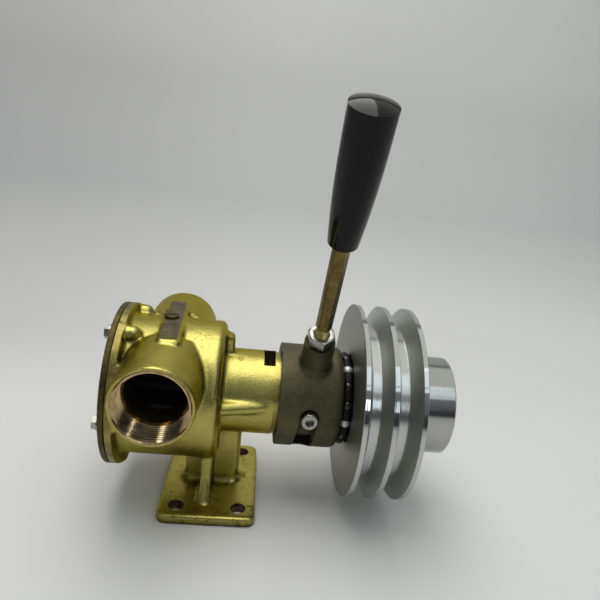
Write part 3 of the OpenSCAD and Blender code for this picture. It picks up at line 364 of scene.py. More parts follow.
def makeCastBrass():                             # the tumbled skin of the casting
    f = Finish("castBrass")
    lugFront, ribToe = (0.006, -0.0045, 0.1225), (-0.0032, -0.0305, 0.009)
    # painted highlights: the corner mask is lifted at the lug's front and the rib's toe
    highlightSpots = f.near(lugFront, 0.010) + f.near(ribToe, 0.008)
    # ambient-occlusion corner mask; it places the patina and the painted corner shade
    corner = f.cornerShade(0.009) * (1 - highlightSpots * 0.8)
    tightCornerShade = f.cornerShade(0.003)
    cloud = f.noise(0.017, 4, 0.6, 0.4)
    grain = f.noise(0.0016, 4, 0.65)
    speck = f.noise(0.00055, 3, 0.7)
    low = (0.014 - f.part("Z")).fade(0, 0.008)
    pitField = f.near((-0.012, -0.021, 0.1305), 0.013)
    # listed spots painted darker: on the foot beside the rib, at the lug's foot and by the flange
    darkenedSpots = 0
    for x, y, z, reach in ((-0.0165, -0.004, 0.009, 0.014), (0.008, -0.009, 0.009, 0.012),
                           (0.019, 0.005, 0.009, 0.011), (0.0065, -0.009, 0.1175, 0.008),
                           (0.014, -0.010, 0.114, 0.006), (-0.055, -0.034, 0.116, 0.016)):
        darkenedSpots = f.near((x, y, z), reach) + darkenedSpots
    pitMask = (0.24 - f.cells(0.0019)).fade(0, 0.08) * f.noise(0.003, 2).fade(0.47, 0.55) * pitField
    tarnish = (corner * 1.3 + cloud * 0.55 + low * 0.22 - 0.34).fade(0.1, 0.9)
    bright = f.ramp(cloud, (0.3, (0.39, 0.345, 0.094)), (0.7, (0.49, 0.44, 0.125)))
    dull = f.ramp(grain, (0.35, (0.085, 0.066, 0.015)), (0.65, (0.20, 0.165, 0.04)))
    colour = f.mixed(tarnish, bright, dull)
    # noise dirt mixed with painted shade: the corner masks darken the colour nearly to black in corners
    dirtAndCornerShade = (tightCornerShade * 1.5 + corner * 0.9 + f.noise(0.006, 5, 0.7, 0.6) * 1.1 - 1.35).fade(0, 0.45)
    colour = f.mixed(dirtAndCornerShade, colour, (0.022, 0.016, 0.005))
    # noise blotches placed by the low band and the corner mask, partly painted shade in the corners
    blotch = (f.noise(0.0075, 5, 0.7, 0.8) - 0.56).fade(0, 0.06) * (low * 0.6 + corner * 0.7)
    colour = f.mixed(blotch, colour, (0.07, 0.05, 0.01))
    colour = f.mixed(pitMask, colour, (0.11, 0.08, 0.02))
    # noise stains, the darkened spots and painted shade in tight corners, mixed towards dark brown
    stainsAndCreviceShade = (darkenedSpots * 0.8 + f.noise(0.0045, 5, 0.75, 0.8) * 1.1 + tightCornerShade * 0.7 - 1.15).fade(0, 0.5)
    colour = f.mixed(stainsAndCreviceShade * 0.85, colour, (0.045, 0.033, 0.008))
    skin = grain * 0.9 + speck * 0.5 + f.noise(0.0045, 3, 0.6) * 1.0 - pitMask * 1.5
    return f.set(colour=colour, metal=1.0,
                 rough=0.2 + speck * 0.16 + tarnish * 0.2 + dirtAndCornerShade * 0.2 + stainsAndCreviceShade * 0.2,
                 edgeTint=(0.80, 0.72, 0.36),
                 normal=f.relief(skin, 0.00016, 0.95))


def makeCoredInside():                           # the unpolished inside of the casting
    f = Finish("coredInside")
    grain = f.noise(0.0015, 4, 0.65)
    scale = f.noise(0.007, 4, 0.6, 0.5)
    colour = f.ramp(scale, (0.3, (0.02, 0.013, 0.007)), (0.7, (0.085, 0.056, 0.026)))
    return f.set(colour=colour, metal=0.5, rough=0.7 + grain * 0.15, normal=f.relief(grain, 0.00015, 0.8))


def makeTurnedBronze():
    f = Finish("turnedBronze")
    rings = f.toolRings(0.0004)
    stain = f.noise(0.012, 4, 0.6, 0.5)
    colour = f.mixed(stain.fade(0.4, 0.7), (0.52, 0.36, 0.19), (0.34, 0.22, 0.10))
    return f.set(colour=colour, metal=1.0, rough=0.22 + rings * 0.14, normal=f.relief(rings, 0.00003, 0.6))


def makeTurnedBrass():                           # the journal, and other cuts through the cast skin
    f = Finish("turnedBrass")
    rings = f.toolRings(0.00045)
    stain = f.noise(0.009, 5, 0.65, 0.7)
    grease = f.noise(0.0045, 4, 0.6, 1.0)
    colour = f.ramp(stain, (0.3, (0.27, 0.225, 0.06)), (0.6, (0.46, 0.40, 0.12)), (0.8, (0.55, 0.48, 0.16)))
    colour = f.mixed(grease.fade(0.58, 0.7) * 0.6, colour, (0.09, 0.06, 0.018))
    neckEnd, collarStart, x = 0.0394, 0.0436, f.part("X")
    # painted shade: the journal's low side between the neck and the collar darkened
    shadeBesideCollar = (x > neckEnd) * (x < collarStart) * (shaftZ + 0.008 - f.part("Z")).fade(0, 0.014)
    colour = f.mixed(shadeBesideCollar * 0.7, colour, (0.20, 0.12, 0.03))
    return f.set(colour=colour, metal=1.0, rough=0.16 + rings * 0.14 + grease * 0.1,
                 normal=f.relief(rings, 0.00003, 0.6))


def makeRimBrass():                              # the flange's turned rim, gone dull
    f = Finish("rimBrass")
    rings = f.toolRings(0.0004)
    stain = f.noise(0.011, 5, 0.65, 0.8)
    colour = f.ramp(stain, (0.3, (0.135, 0.11, 0.036)), (0.55, (0.26, 0.22, 0.07)),
                    (0.75, (0.38, 0.33, 0.11)))
    return f.set(colour=colour, metal=1.0, rough=0.28 + rings * 0.2, normal=f.relief(rings, 0.00004, 0.6))


def makeThreadBronze():
    f = Finish("threadBronze")
    stain = f.noise(0.009, 4, 0.6, 0.5)
    chatter = f.noise(0.0006, 2, 0.5, 0, f.stretch((1, 6, 1)))
    drilledRoughAndShaded = (0.0085 - f.part("Z")).fade(0, 0.001)          # the foot's bolt holes: rougher, and darkened as painted shade
    colour = f.mixed(stain.fade(0.35, 0.7), (0.56, 0.425, 0.24), (0.32, 0.22, 0.10))
    dull = f.ramp(stain, (0.4, (0.07, 0.042, 0.024)), (0.62, (0.24, 0.16, 0.105)))
    colour = f.mixed(drilledRoughAndShaded, colour, dull)
    return f.set(colour=colour, metal=1.0, rough=0.08 + chatter * 0.06 + drilledRoughAndShaded * 0.35,
                 normal=f.relief(chatter, 0.00002, 0.4))


def makeDullBrass():                             # the end cover and what is screwed to it
    f = Finish("dullBrass")
    rings = f.toolRings(0.00045)
    stain = f.noise(0.010, 5, 0.65, 0.8)
    spots = f.noise(0.003, 3, 0.6)
    colour = f.ramp(stain, (0.3, (0.052, 0.038, 0.011)), (0.55, (0.12, 0.092, 0.028)),
                    (0.75, (0.21, 0.165, 0.055)))
    colour = f.mixed((rings - 0.5) * 0.8 + 0.2, colour, (0.048, 0.034, 0.011))
    return f.set(colour=colour, metal=0.9, rough=0.42 + spots * 0.2,
                 normal=f.relief(rings + spots * 0.5, 0.00005, 0.6))


def makeMilledPad():
    f = Finish("milledPad")
    strokes = f.noise(0.0008, 3, 0.6, 0.2, f.stretch((1, 0.2, 1)))
    stain = f.noise(0.009, 5, 0.65, 0.9)
    scuff = f.noise(0.0048, 5, 0.7, 0.3)
    oil = (f.part("Y") * -1 + f.noise(0.008, 3) * 0.012).fade(0.0355, 0.041)
    colour = f.ramp(stain, (0.3, (0.085, 0.066, 0.036)), (0.6, (0.155, 0.125, 0.078)),
                    (0.8, (0.20, 0.165, 0.11)))
    colour = f.mixed(scuff.fade(0.55, 0.7) * 0.7, colour, (0.31, 0.275, 0.20))
    colour = f.mixed(scuff.fade(0.34, 0.46), (0.05, 0.037, 0.014), colour)
    colour = f.mixed(oil * 0.8, colour, (0.075, 0.068, 0.008))
    return f.set(colour=colour, metal=0.8, rough=0.5 + strokes * 0.2 - oil * 0.2,
                 normal=f.relief(strokes * 0.7 + scuff * 0.5, 0.00008, 0.7))


def makeSandCastBronze():
    f = Finish("sandCastBronze")
    corner = f.cornerShade(0.008)
    grain = f.noise(0.0009, 4, 0.75)
    lumps = f.noise(0.0032, 3, 0.6)
    cloud = f.noise(0.014, 4, 0.6, 0.5)
    colour = f.ramp(cloud, (0.3, (0.070, 0.063, 0.033)), (0.7, (0.126, 0.111, 0.059)))
    colour = f.mixed((grain - 0.52).fade(0, 0.16) * 0.6, colour, (0.26, 0.23, 0.14))
    colour = f.mixed((0.46 - grain).fade(0, 0.14) * 0.6, colour, (0.045, 0.037, 0.02))
    # painted shade: corners darkened nearly to black through the ambient-occlusion mask
    colour = f.mixed((corner * 1.8 - 0.2).fade(0, 1), colour, (0.02, 0.0155, 0.008))
    slotEndShadow = (0.0365 - f.roundShaft()).fade(0, 0.0006) * (0.0635 - f.part("Z")).fade(0, 0.002)
    colour = f.mixed(slotEndShadow, colour, (0.0015, 0.0012, 0.0006))      # painted shadow in the slot's low end, nearly black
    return f.set(colour=colour, metal=0.75, rough=0.44 + grain * 0.22 + slotEndShadow * 0.2,
                 normal=f.relief(grain * 1.5 + lumps * 0.8, 0.00016, 1))


def makeFacedBronze():                           # the lever boss's milled end, the bore and the slot
    f = Finish("facedBronze")
    fine = f.noise(0.0006, 3, 0.6)
    stain = f.noise(0.007, 4, 0.6, 0.6)
    colour = f.ramp(stain, (0.3, (0.24, 0.19, 0.10)), (0.7, (0.46, 0.385, 0.22)))
    return f.set(colour=colour, metal=1.0, rough=0.26 + fine * 0.16, normal=f.relief(fine, 0.00003, 0.5))


def makeZinc():
    f = Finish("zincPlate")
    cloud = f.noise(0.004, 4, 0.6, 0.3)
    fine = f.noise(0.0007, 3, 0.6)
    corner = f.cornerShade(0.002)
    colour = f.ramp(cloud, (0.35, (0.29, 0.29, 0.265)), (0.65, (0.45, 0.45, 0.415)))
    # painted shade: tight corners darkened
    colour = f.mixed((corner * 1.5 - 0.3).fade(0, 1), colour, (0.16, 0.15, 0.12))
    return f.set(colour=colour, metal=1.0, rough=0.2 + cloud * 0.14, normal=f.relief(fine, 0.00003, 0.5))


def makeSteel():
    f = Finish("groundSteel")
    rings = f.toolRings(0.0005)
    cloud = f.noise(0.006, 3, 0.5)
    colour = f.ramp(cloud, (0.3, (0.52, 0.52, 0.52)), (0.7, (0.68, 0.68, 0.68)))
    return f.set(colour=colour, metal=1.0, rough=0.18 + rings * 0.12, normal=f.relief(rings, 0.00002, 0.5))


def makeBallSteel():                             # bearing balls, some of them painted dark in a pattern set by their angle round the shaft
    f = Finish("ballSteel")
    smear = f.noise(0.003, 3, 0.5)
    around = f.node("ShaderNodeMath", {"operation": "ARCTAN2"}, (f.part("Y") * -1, f.part("Z") - shaftZ))
    turn = f.node("ShaderNodeMath", {"operation": "COSINE"}, (around * 5 - math.radians(127.5),))
    # a five-fold pattern round the shaft, with noise, picks the balls painted dark
    grease = 1 - (turn + f.noise(0.009, 3, 0.6) * 0.9 - 0.45).fade(0, 0.5)
    colour = f.ramp(smear, (0.3, (0.70, 0.70, 0.68)), (0.7, (0.84, 0.84, 0.81)))
    colour = f.mixed(grease * 0.95, colour, (0.03, 0.027, 0.02))
    return f.set(colour=colour, metal=1.0, rough=0.48 + smear * 0.14 - grease * 0.32)


def makeOiledSteel():
    f = Finish("oiledSteel")
    film = f.noise(0.004, 4, 0.6, 0.5)
    colour = f.ramp(film, (0.3, (0.035, 0.032, 0.026)), (0.7, (0.14, 0.135, 0.12)))
    return f.set(colour=colour, metal=0.9, rough=0.3 + film * 0.2, normal=f.relief(film, 0.00004, 0.5))


def makeBlackSteel():
    f = Finish("blackSteel")
    grain = f.noise(0.0012, 3, 0.6)
    colour = f.ramp(grain, (0.3, (0.015, 0.015, 0.017)), (0.7, (0.05, 0.05, 0.055)))
    return f.set(colour=colour, metal=0.7, rough=0.35 + grain * 0.2, normal=f.relief(grain, 0.00003, 0.5))


def makeTurnedAluminium():                       # faces as turned; lands, groove floors and hub polished
    f = Finish("turnedAluminium")
    r, x = f.roundShaft(), f.part("X")
    rings = f.toolRings(0.00042)
    broad = f.toolRings(0.0026, 3.7)
    cloud = f.noise(0.03, 3, 0.55, 0.4)
    scratch = f.noise(0.0022, 4, 0.7, 1.4)
    landR, floorR, frontFace = 0.07015, 0.0560, 0.0955
    lands = r > landR
    floors = (r > floorR - 0.0008) * (r < floorR) * (x > 0.0975) * (x < 0.1325)
    hub = (r > 0.0352) * (r < 0.0360) * (x > 0.1358)
    turnedFace = 1 - lands - floors - hub
    flanks = (r > floorR) * (r < landR) * (x > frontFace) * (x < 0.1345)
    colour = f.ramp(rings * 0.5 + broad * 0.5, (0.3, (0.285, 0.287, 0.252)), (0.7, (0.365, 0.368, 0.33)))
    colour = f.mixed(flanks, colour, f.ramp(rings * 0.5 + broad * 0.5, (0.3, (0.44, 0.45, 0.415)),
                                            (0.7, (0.58, 0.59, 0.55))))
    colour = f.mixed(scratch.fade(0.66, 0.72) * 0.4 * turnedFace, colour, (0.25, 0.25, 0.23))
    colour = f.mixed(lands + floors, colour, (0.55, 0.55, 0.54))
    colour = f.mixed(hub, colour, f.ramp(rings, (0.35, (0.39, 0.39, 0.37)), (0.65, (0.50, 0.50, 0.48))))
    rough = lands * 0.06 + floors * (0.17 + rings * 0.05) + hub * (0.08 + rings * 0.1) + \
        turnedFace * (0.26 + rings * 0.14 + cloud * 0.05 + (x < frontFace) * 0.12)
    return f.set(colour=colour, metal=1.0, rough=rough,
                 normal=f.relief(rings * 0.8 + broad * 0.6, 0.00003, 0.8))


def makeGripPlastic():
    f = Finish("gripPlastic")
    haze = f.noise(0.02, 4, 0.6, 0.5)
    dust = f.cells(0.0031)
    speck = (0.11 - dust).fade(0, 0.05) * f.noise(0.009, 2).fade(0.56, 0.62)
    colour = f.mixed(speck * 0.5, (0.0014, 0.0016, 0.0018), (0.05, 0.05, 0.048))
    return f.set(colour=colour, rough=0.06 + haze * 0.06 + speck * 0.3, specular=0.21,
                 normal=f.relief(f.noise(0.012, 3), 0.00006, 0.5))


def makeCagePlastic():
    f = Finish("cagePlastic")
    grease = f.noise(0.0035, 3, 0.6, 0.4)
    colour = f.ramp(grease, (0.3, (0.0018, 0.0018, 0.0018)), (0.7, (0.007, 0.0066, 0.0055)))
    return f.set(colour=colour, specular=0.25, rough=0.35 + grease * 0.3,
                 normal=f.relief(grease, 0.0002, 0.5))


def makeRubber():
    f = Finish("blackRubber")
    bloom = f.noise(0.006, 4, 0.6)
    grain = f.noise(0.0008, 3, 0.6)
    colour = f.ramp(bloom, (0.3, (0.012, 0.012, 0.012)), (0.7, (0.035, 0.034, 0.033)))
    return f.set(colour=colour, rough=0.5 + grain * 0.2, normal=f.relief(grain, 0.00004, 0.5))


def makeGasketPaper():
    f = Finish("gasketPaper")
    fibre = f.noise(0.0009, 4, 0.7, 1.5)
    colour = f.ramp(fibre, (0.3, (0.035, 0.028, 0.014)), (0.7, (0.10, 0.08, 0.045)))
    return f.set(colour=colour, rough=0.8 + fibre * 0.1, normal=f.relief(fibre, 0.00006, 0.6))


def makeFriction():
    f = Finish("frictionLining")
    chips = f.cells(0.0014)
    grain = f.noise(0.0008, 3, 0.7)
    colour = f.ramp(grain, (0.3, (0.05, 0.038, 0.028)), (0.7, (0.15, 0.115, 0.085)))
    colour = f.mixed((0.2 - chips).fade(0, 0.06), colour, (0.36, 0.26, 0.12))
    return f.set(colour=colour, rough=0.75 + grain * 0.15, normal=f.relief(grain, 0.00008, 0.7))


def makeRodBrass():
    f = Finish("rodBrass")
    drawn = f.noise(0.0007, 3, 0.6, 0.1, f.stretch((1, 0.35, 0.16)))
    stain = f.noise(0.008, 5, 0.65, 0.8)
    colour = f.ramp(stain, (0.3, (0.10, 0.073, 0.021)), (0.55, (0.175, 0.13, 0.045)),
                    (0.75, (0.26, 0.205, 0.085)))
    along = (f.part("Z") - shaftZ) * math.cos(leverLean) - f.part("Y") * math.sin(leverLean)
    thread = along < 0.0735                      # below the hexagon, cut bright
    colour = f.mixed(thread, colour, (0.50, 0.40, 0.19))
    return f.set(colour=colour, metal=1.0, rough=0.3 + drawn * 0.18 - thread * 0.14,
                 normal=f.relief(drawn, 0.00003, 0.6))


castBrass = makeCastBrass()
coredInside = makeCoredInside()
turnedBronze = makeTurnedBronze()
turnedBrass = makeTurnedBrass()
rimBrass = makeRimBrass()
threadBronze = makeThreadBronze()
dullBrass = makeDullBrass()
milledPad = makeMilledPad()
sandCastBronze = makeSandCastBronze()
facedBronze = makeFacedBronze()
zincPlate = makeZinc()
groundSteel = makeSteel()
ballSteel = makeBallSteel()
oiledSteel = makeOiledSteel()
blackSteel = makeBlackSteel()
turnedAluminium = makeTurnedAluminium()
gripPlastic = makeGripPlastic()
cagePlastic = makeCagePlastic()
blackRubber = makeRubber()
gasketPaper = makeGasketPaper()
frictionLining = makeFriction()
rodBrass = makeRodBrass()
print("materials made")

nodeFinishes = {
    "pump_body": castBrass, "end_cover": dullBrass, "cover_gasket": gasketPaper,
    "cover_screws": zincPlate, "cover_washers": zincPlate, "cam": turnedBronze,
    "cam_screw": dullBrass, "cam_ring": dullBrass, "wear_plate": turnedBronze,
    "shaft_seal": blackRubber, "bearing_outer_rings": groundSteel, "bearing_balls": ballSteel,
    "bearing_spacer": groundSteel, "bearing_circlip": blackSteel, "follower_screw": zincPlate,
    "follower_bush": dullBrass, "pump_shaft": groundSteel, "impeller": blackRubber,
    "impeller_sleeve": turnedBronze, "impeller_key": groundSteel, "slinger": blackRubber,
    "bearing_inner_rings": groundSteel, "clutch_cone": groundSteel, "cone_key": groundSteel,
    "shaft_washer": zincPlate, "shaft_nut": zincPlate, "release_spring": groundSteel,
    "thrust_race_rear": oiledSteel, "thrust_cage": cagePlastic, "thrust_balls": ballSteel,
    "clutch_collar": sandCastBronze, "lever_locknut": zincPlate, "lever_rod": rodBrass,
    "lever_grip": gripPlastic, "belt_pulley": turnedAluminium, "pulley_bush": turnedBronze,
    "spring_seat": groundSteel, "thrust_race_front": oiledSteel, "clutch_lining": frictionLining,
}
for name, material in nodeFinishes.items():
    dress(nodes[name], material)

body = {                                         # cast, then machined
    "voxel": 1.0 * mm, "smoothing": 12,          # the cast corners' rounding comes from these two
    "ripple": 0.16 * mm, "rippleSize": 0.011,
    "coverFace": -67.1 * mm, "flangeRear": -62.3 * mm, "flangeR": 57.2 * mm,
    "chamberR": 37 * mm, "chamberEnd": -12 * mm, "sealR": 16 * mm, "sealEnd": -5 * mm,
    "shaftR": 11 * mm, "rearFace": 3 * mm, "drainR": 19 * mm,
    "bearingR": 23.5 * mm, "bearingStart": 42.3 * mm,
    "circlipR": 24.7 * mm, "circlipX": (80.1 * mm, 81.95 * mm), "neckR": 30.3 * mm, "neckEnd": 39.7 * mm,
    "journalR": 29.8 * mm, "journalEnd": 83.2 * mm,
    "portX": -35.5 * mm, "portZ": shaftZ + 20.6 * mm, "portMouth": 74.1 * mm, "portR": 26.7 * mm,
    "ductR": 20.4 * mm, "ductStop": 16 * mm,
    "threadMinor": 22.425 * mm, "threadDepth": 1.479 * mm, "threadPitch": 2.309 * mm,
    "threadLength": 18.6 * mm, "threadTurn": 40, "countersink": 24.5 * mm,
    "padTop": shaftZ + 50.8 * mm, "allowance": 0.7 * mm,
    "boltX": 22 * mm, "boltY": 36 * mm, "boltR": 5.5 * mm, "footTop": 7.5 * mm,
    "ribX": -3.2 * mm, "ribHalf": (4.1 * mm, 25.8 * mm), "ribSpan": (12 * mm, 40 * mm), "padHalfX": 12 * mm,
    "coverScrewR": 51.2 * mm, "coverScrewHole": 2.6 * mm,
    "screwAngles": (26, 96, 156), "screwDepths": (12.8 * mm, 12.8 * mm, 5.3 * mm),
    "camScrew": (-36.5 * mm, 3 * mm), "camScrewHole": 3.1 * mm,
    "slotX": (31 * mm, 39.2 * mm), "slotHalf": 13.8 * mm, "slotFloor": 12 * mm,
    "followerX": 64.5 * mm, "followerHole": 3.6 * mm,
}


def ringCutter(name, inner, outer, start, end):  # trims a turned face down to its radius
    ring = turnedBar(name, start, end, outer)
    return cut(ring, turnedBar("ringHole", start - mm, end + mm, inner))


def portRod(name, b, start, end, radius, tipRadius=None):
    x, z = b["portX"], b["portZ"]
    return rod(name, (x, start, z), (x, end, z), radius, tipRadius=tipRadius)


def screwAxis(b, side, angle):                   # a cover screw's place across the shaft
    angle = math.radians(angle)
    return -side * b["coverScrewR"] * math.sin(angle), shaftZ + b["coverScrewR"] * math.cos(angle)


def makeCastingBlank(b):                         # the bores are filled, so that the skin can be remeshed
    blank = copyNode("pump_body", "castingBlank")
    spare = b["allowance"]
    fills = [
        turnedBar("fill", b["coverFace"] - spare, b["flangeRear"] - 0.4 * mm, b["flangeR"] + spare),
        turnedBar("fill", b["coverFace"] - spare, b["rearFace"] - mm, b["chamberR"] + mm),
        turnedBar("fill", 0, b["neckEnd"], b["neckR"] - 0.05 * mm),
        turnedBar("fill", b["neckEnd"] - mm, b["journalEnd"] + spare, b["journalR"] + spare),
    ]
    for side in (-1, 1):
        fills.append(portRod("fill", b, 0, side * (b["portMouth"] + spare), b["portR"] - 0.1 * mm))
        for end in (-1, 1):
            x, y = end * b["boltX"], side * b["boltY"]
            fills.append(rod("fill", (x, y, -spare), (x, y, b["footTop"]), b["boltR"] + mm, 24))
        for angle in b["screwAngles"]:
            y, z = screwAxis(b, side, angle)
            fills.append(rod("fill", (b["coverFace"], y, z), (b["flangeRear"] + 3 * mm, y, z), 4 * mm, 24))
    rib, (halfX, halfY), (low, high) = b["ribX"], b["ribHalf"], b["ribSpan"]
    fills.append(block("fill", (rib - halfX, -halfY, low), (rib + halfX, halfY, high)))
    for side in (-1, 1):                         # the rib's splayed toes
        fills.append(rod("fill", (rib, side * 22.5 * mm, 24 * mm), (rib, side * 30 * mm, 5.5 * mm),
                         3.2 * mm, 24, tipRadius=5.4 * mm))
    x, y = b["camScrew"]
    fills.append(rod("fill", (x, y, shaftZ + b["chamberR"] - 2 * mm), (x, y, b["padTop"]), 4 * mm, 24))
    pad = block("fill", (-40.4 * mm, -38 * mm, b["padTop"] - 4 * mm),
                (-29 * mm, 38 * mm, b["padTop"] + spare))
    padMiddle = Matrix.Translation((b["portX"] + 0.8 * mm, 0, 0))
    pad.data.transform(padMiddle @ Matrix.Rotation(math.radians(2.4), 4, "Z") @ padMiddle.inverted())
    fills.append(pad)
    join(blank, *fills)
    modify(blank, "REMESH", mode="VOXEL", voxel_size=b["voxel"], adaptivity=0)
    modify(blank, "SMOOTH", factor=0.5, iterations=b["smoothing"])
    easeWhere(blank, lambda v: 2 * mm < v.x < 11 * mm and abs(v.y) < 9 * mm
              and v.z > shaftZ + 31 * mm, 22)          # the lug
    easeWhere(blank, lambda v: v.z < 9 * mm
              and (abs(v.x) > 31 * mm or abs(v.y) > 44 * mm), 14)      # the foot
    ripple = bpy.data.textures.new("castRipple", "CLOUDS")
    ripple.noise_scale = b["rippleSize"]
    ripple.noise_depth = 2
    modify(blank, "DISPLACE", texture=ripple, texture_coords="LOCAL", strength=b["ripple"], mid_level=0.5)
    return blank


def portCutter(b, side):
    mouth, lip = b["portMouth"], 0.9 * mm
    threadEnd = mouth - b["threadLength"]
    thread = threadForm("portThread", b["threadLength"] + 2 * mm, b["threadMinor"],
                        b["threadDepth"], b["threadPitch"])
    stand(thread, (b["portX"], side * threadEnd, b["portZ"]), (0, side, 0), b["threadTurn"])
    duct = portRod("portDuct", b, side * b["ductStop"], side * (threadEnd + 0.2 * mm), b["ductR"])
    flare = portRod("portFlare", b, side * (mouth - lip), side * (mouth + 2 * lip),
                    b["countersink"] - lip, b["countersink"] + 2 * lip)
    return thread, duct, flare


def makeBody(b):
    piece = makeCastingBlank(b)
    piece.name = "machinedBody"
    far, wide = 0.1, 0.2
    rimTool = ringCutter("rimTool", b["flangeR"], 70 * mm, b["coverFace"] - 2 * mm, b["flangeRear"] + 4 * mm)
    cut(rimTool, portRod("portKeep", b, -far, far, b["portR"] + 0.4 * mm))     # it passes clear of the ports
    cut(piece,
        block("faceMill", (-wide, -wide, -wide), (b["coverFace"], wide, wide)),
        block("faceMill", (b["journalEnd"], -wide, -wide), (wide, wide, wide)),
        block("faceMill", (-far, -far, -far), (far, far, 0)),
        block("faceMill", (b["portX"] - b["padHalfX"], -45 * mm, b["padTop"]),
              (b["portX"] + b["padHalfX"], 45 * mm, wide)),
        rimTool,
        ringCutter("journalTool", b["journalR"], 50 * mm, b["neckEnd"], b["journalEnd"] + 2 * mm),
        turnedBar("chamberTool", b["coverFace"] - mm, b["chamberEnd"], b["chamberR"]),
        turnedBar("sealTool", b["chamberEnd"] - mm, b["sealEnd"], b["sealR"]),
        turnedBar("shaftTool", b["sealEnd"] - mm, b["rearFace"] + mm, b["shaftR"]),
        turnedBar("drainTool", b["rearFace"], b["bearingStart"] + mm, b["drainR"]),
        turnedBar("bearingTool", b["bearingStart"], b["journalEnd"] + mm, b["bearingR"]),
        turnedBar("circlipTool", *b["circlipX"], b["circlipR"]))
    for side in (-1, 1):
        mouthY = side * b["portMouth"]
        low, high = sorted((mouthY, side * wide))
        cut(piece, block("faceMill", (-far, low, 0.06), (far, high, wide)), *portCutter(b, side))
        for end in (-1, 1):
            x, y = end * b["boltX"], side * b["boltY"]
            cut(piece, rod("drill", (x, y, -far), (x, y, 2 * b["footTop"]), b["boltR"], 48))
        for angle, deep in zip(b["screwAngles"], b["screwDepths"]):
            y, z = screwAxis(b, side, angle)
            cut(piece, rod("drill", (-far, y, z), (b["coverFace"] + deep, y, z),
                           b["coverScrewHole"], 32))
        low, high = sorted((shaftZ + side * b["slotFloor"], shaftZ + side * 40 * mm))
        cut(piece, block("slotMill", (b["slotX"][0], -b["slotHalf"], low),
                         (b["slotX"][1], b["slotHalf"], high)))
    x, y = b["camScrew"]
    cut(piece, rod("drill", (x, y, shaftZ), (x, y, wide), b["camScrewHole"], 32))
    x = b["followerX"]
    cut(piece, rod("drill", (x, -wide, shaftZ), (x, -20 * mm, shaftZ), b["followerHole"], 32))
    return piece


def markMachined(piece, b):      # slots: 0 cast, 1 turned, 2 thread and drilled, 3 pad, 4 dull edge, 5 inside
    threadEnd = b["portMouth"] - b["threadLength"]
    bolts = [(sx * b["boltX"], sy * b["boltY"]) for sx in (-1, 1) for sy in (-1, 1)]
    for face in piece.data.polygons:
        c, n = face.center, face.normal
        r = math.hypot(c.y, c.z - shaftZ)
        portR = math.hypot(c.x - b["portX"], c.z - b["portZ"])
        index = 0
        if c.x > b["neckEnd"] - 0.05 * mm and r > b["journalR"] - 0.4 * mm:
            index = 1
        elif abs(c.y) > b["portMouth"] - 0.02 * mm and abs(n.y) > 0.98:
            index = 1
        elif abs(c.y) > threadEnd - 0.3 * mm and portR < b["countersink"] + 0.05 * mm:
            index = 2
        elif c.z > b["padTop"] - 0.02 * mm and n.z > 0.98 and abs(c.x - b["portX"]) < b["padHalfX"]:
            index = 3
        elif (r > b["flangeR"] - 0.08 * mm and c.x < b["flangeRear"] + 1 * mm
              or c.x < b["coverFace"] + 0.02 * mm):
            index = 4
        elif c.z < 0.02 * mm or (n.z * n.z < 0.1 and c.z < b["footTop"] and min(
                math.hypot(c.x - x, c.y - y) for x, y in bolts) < b["boltR"] + 0.1 * mm):
            index = 2
        elif r < b["chamberR"] + 0.1 * mm and c.x < b["chamberEnd"] + mm:
            index = 5
        elif portR < b["ductR"] + 0.1 * mm and abs(c.y) < threadEnd + 0.3 * mm:
            index = 5
        elif r < b["bearingR"] + 0.1 * mm and c.x > b["chamberEnd"]:
            index = 5
        face.material_index = index


pumpBody = makeBody(body)
dress(pumpBody, castBrass, turnedBrass, threadBronze, milledPad, rimBrass, coredInside)
markMachined(pumpBody, body)
smoothBy(pumpBody, 32)
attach(pumpBody, "housing")
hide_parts("pump_body")
print("pump body made,", len(pumpBody.data.polygons), "faces")

collar = {                                       # sand cast; its bore, slot and lever boss are machined
    "voxel": 0.8 * mm, "smoothing": 5, "ripple": 0.22 * mm, "rippleSize": 0.006,
    "start": 43.4 * mm, "end": 87.1 * mm, "radius": 37.2 * mm, "edgeLong": 5.5 * mm, "edgeDeep": 2.9 * mm,
    "boreR": 29.85 * mm, "bossR": 10.8 * mm, "bossEnd": 58.6 * mm,
    "rootR": 13 * mm, "rootEnd": 39.1 * mm, "rodHoleR": 4.76 * mm,
}
lever = {
    "x": 66.5 * mm,
    "threadR": 4.7 * mm, "threadDepth": 0.75 * mm, "threadPitch": 1.5 * mm, "threadStart": 34 * mm,
    "nutStart": 58.6 * mm, "nutEnd": 66.6 * mm, "nutFlats": 17 * mm, "nutTurn": -24,
    "barStart": 73.2 * mm, "barEnd": 150.5 * mm, "barFlats": 9.5 * mm, "barTurn": -9,
    "studR": 4 * mm, "studEnd": 164.5 * mm,
}


def onLever(piece):                              # what is made along Z goes onto the lever's axis
    piece.data.transform(Matrix.Translation((lever["x"], 0, shaftZ))
                         @ Matrix.Rotation(leverLean, 4, "X"))
    return piece


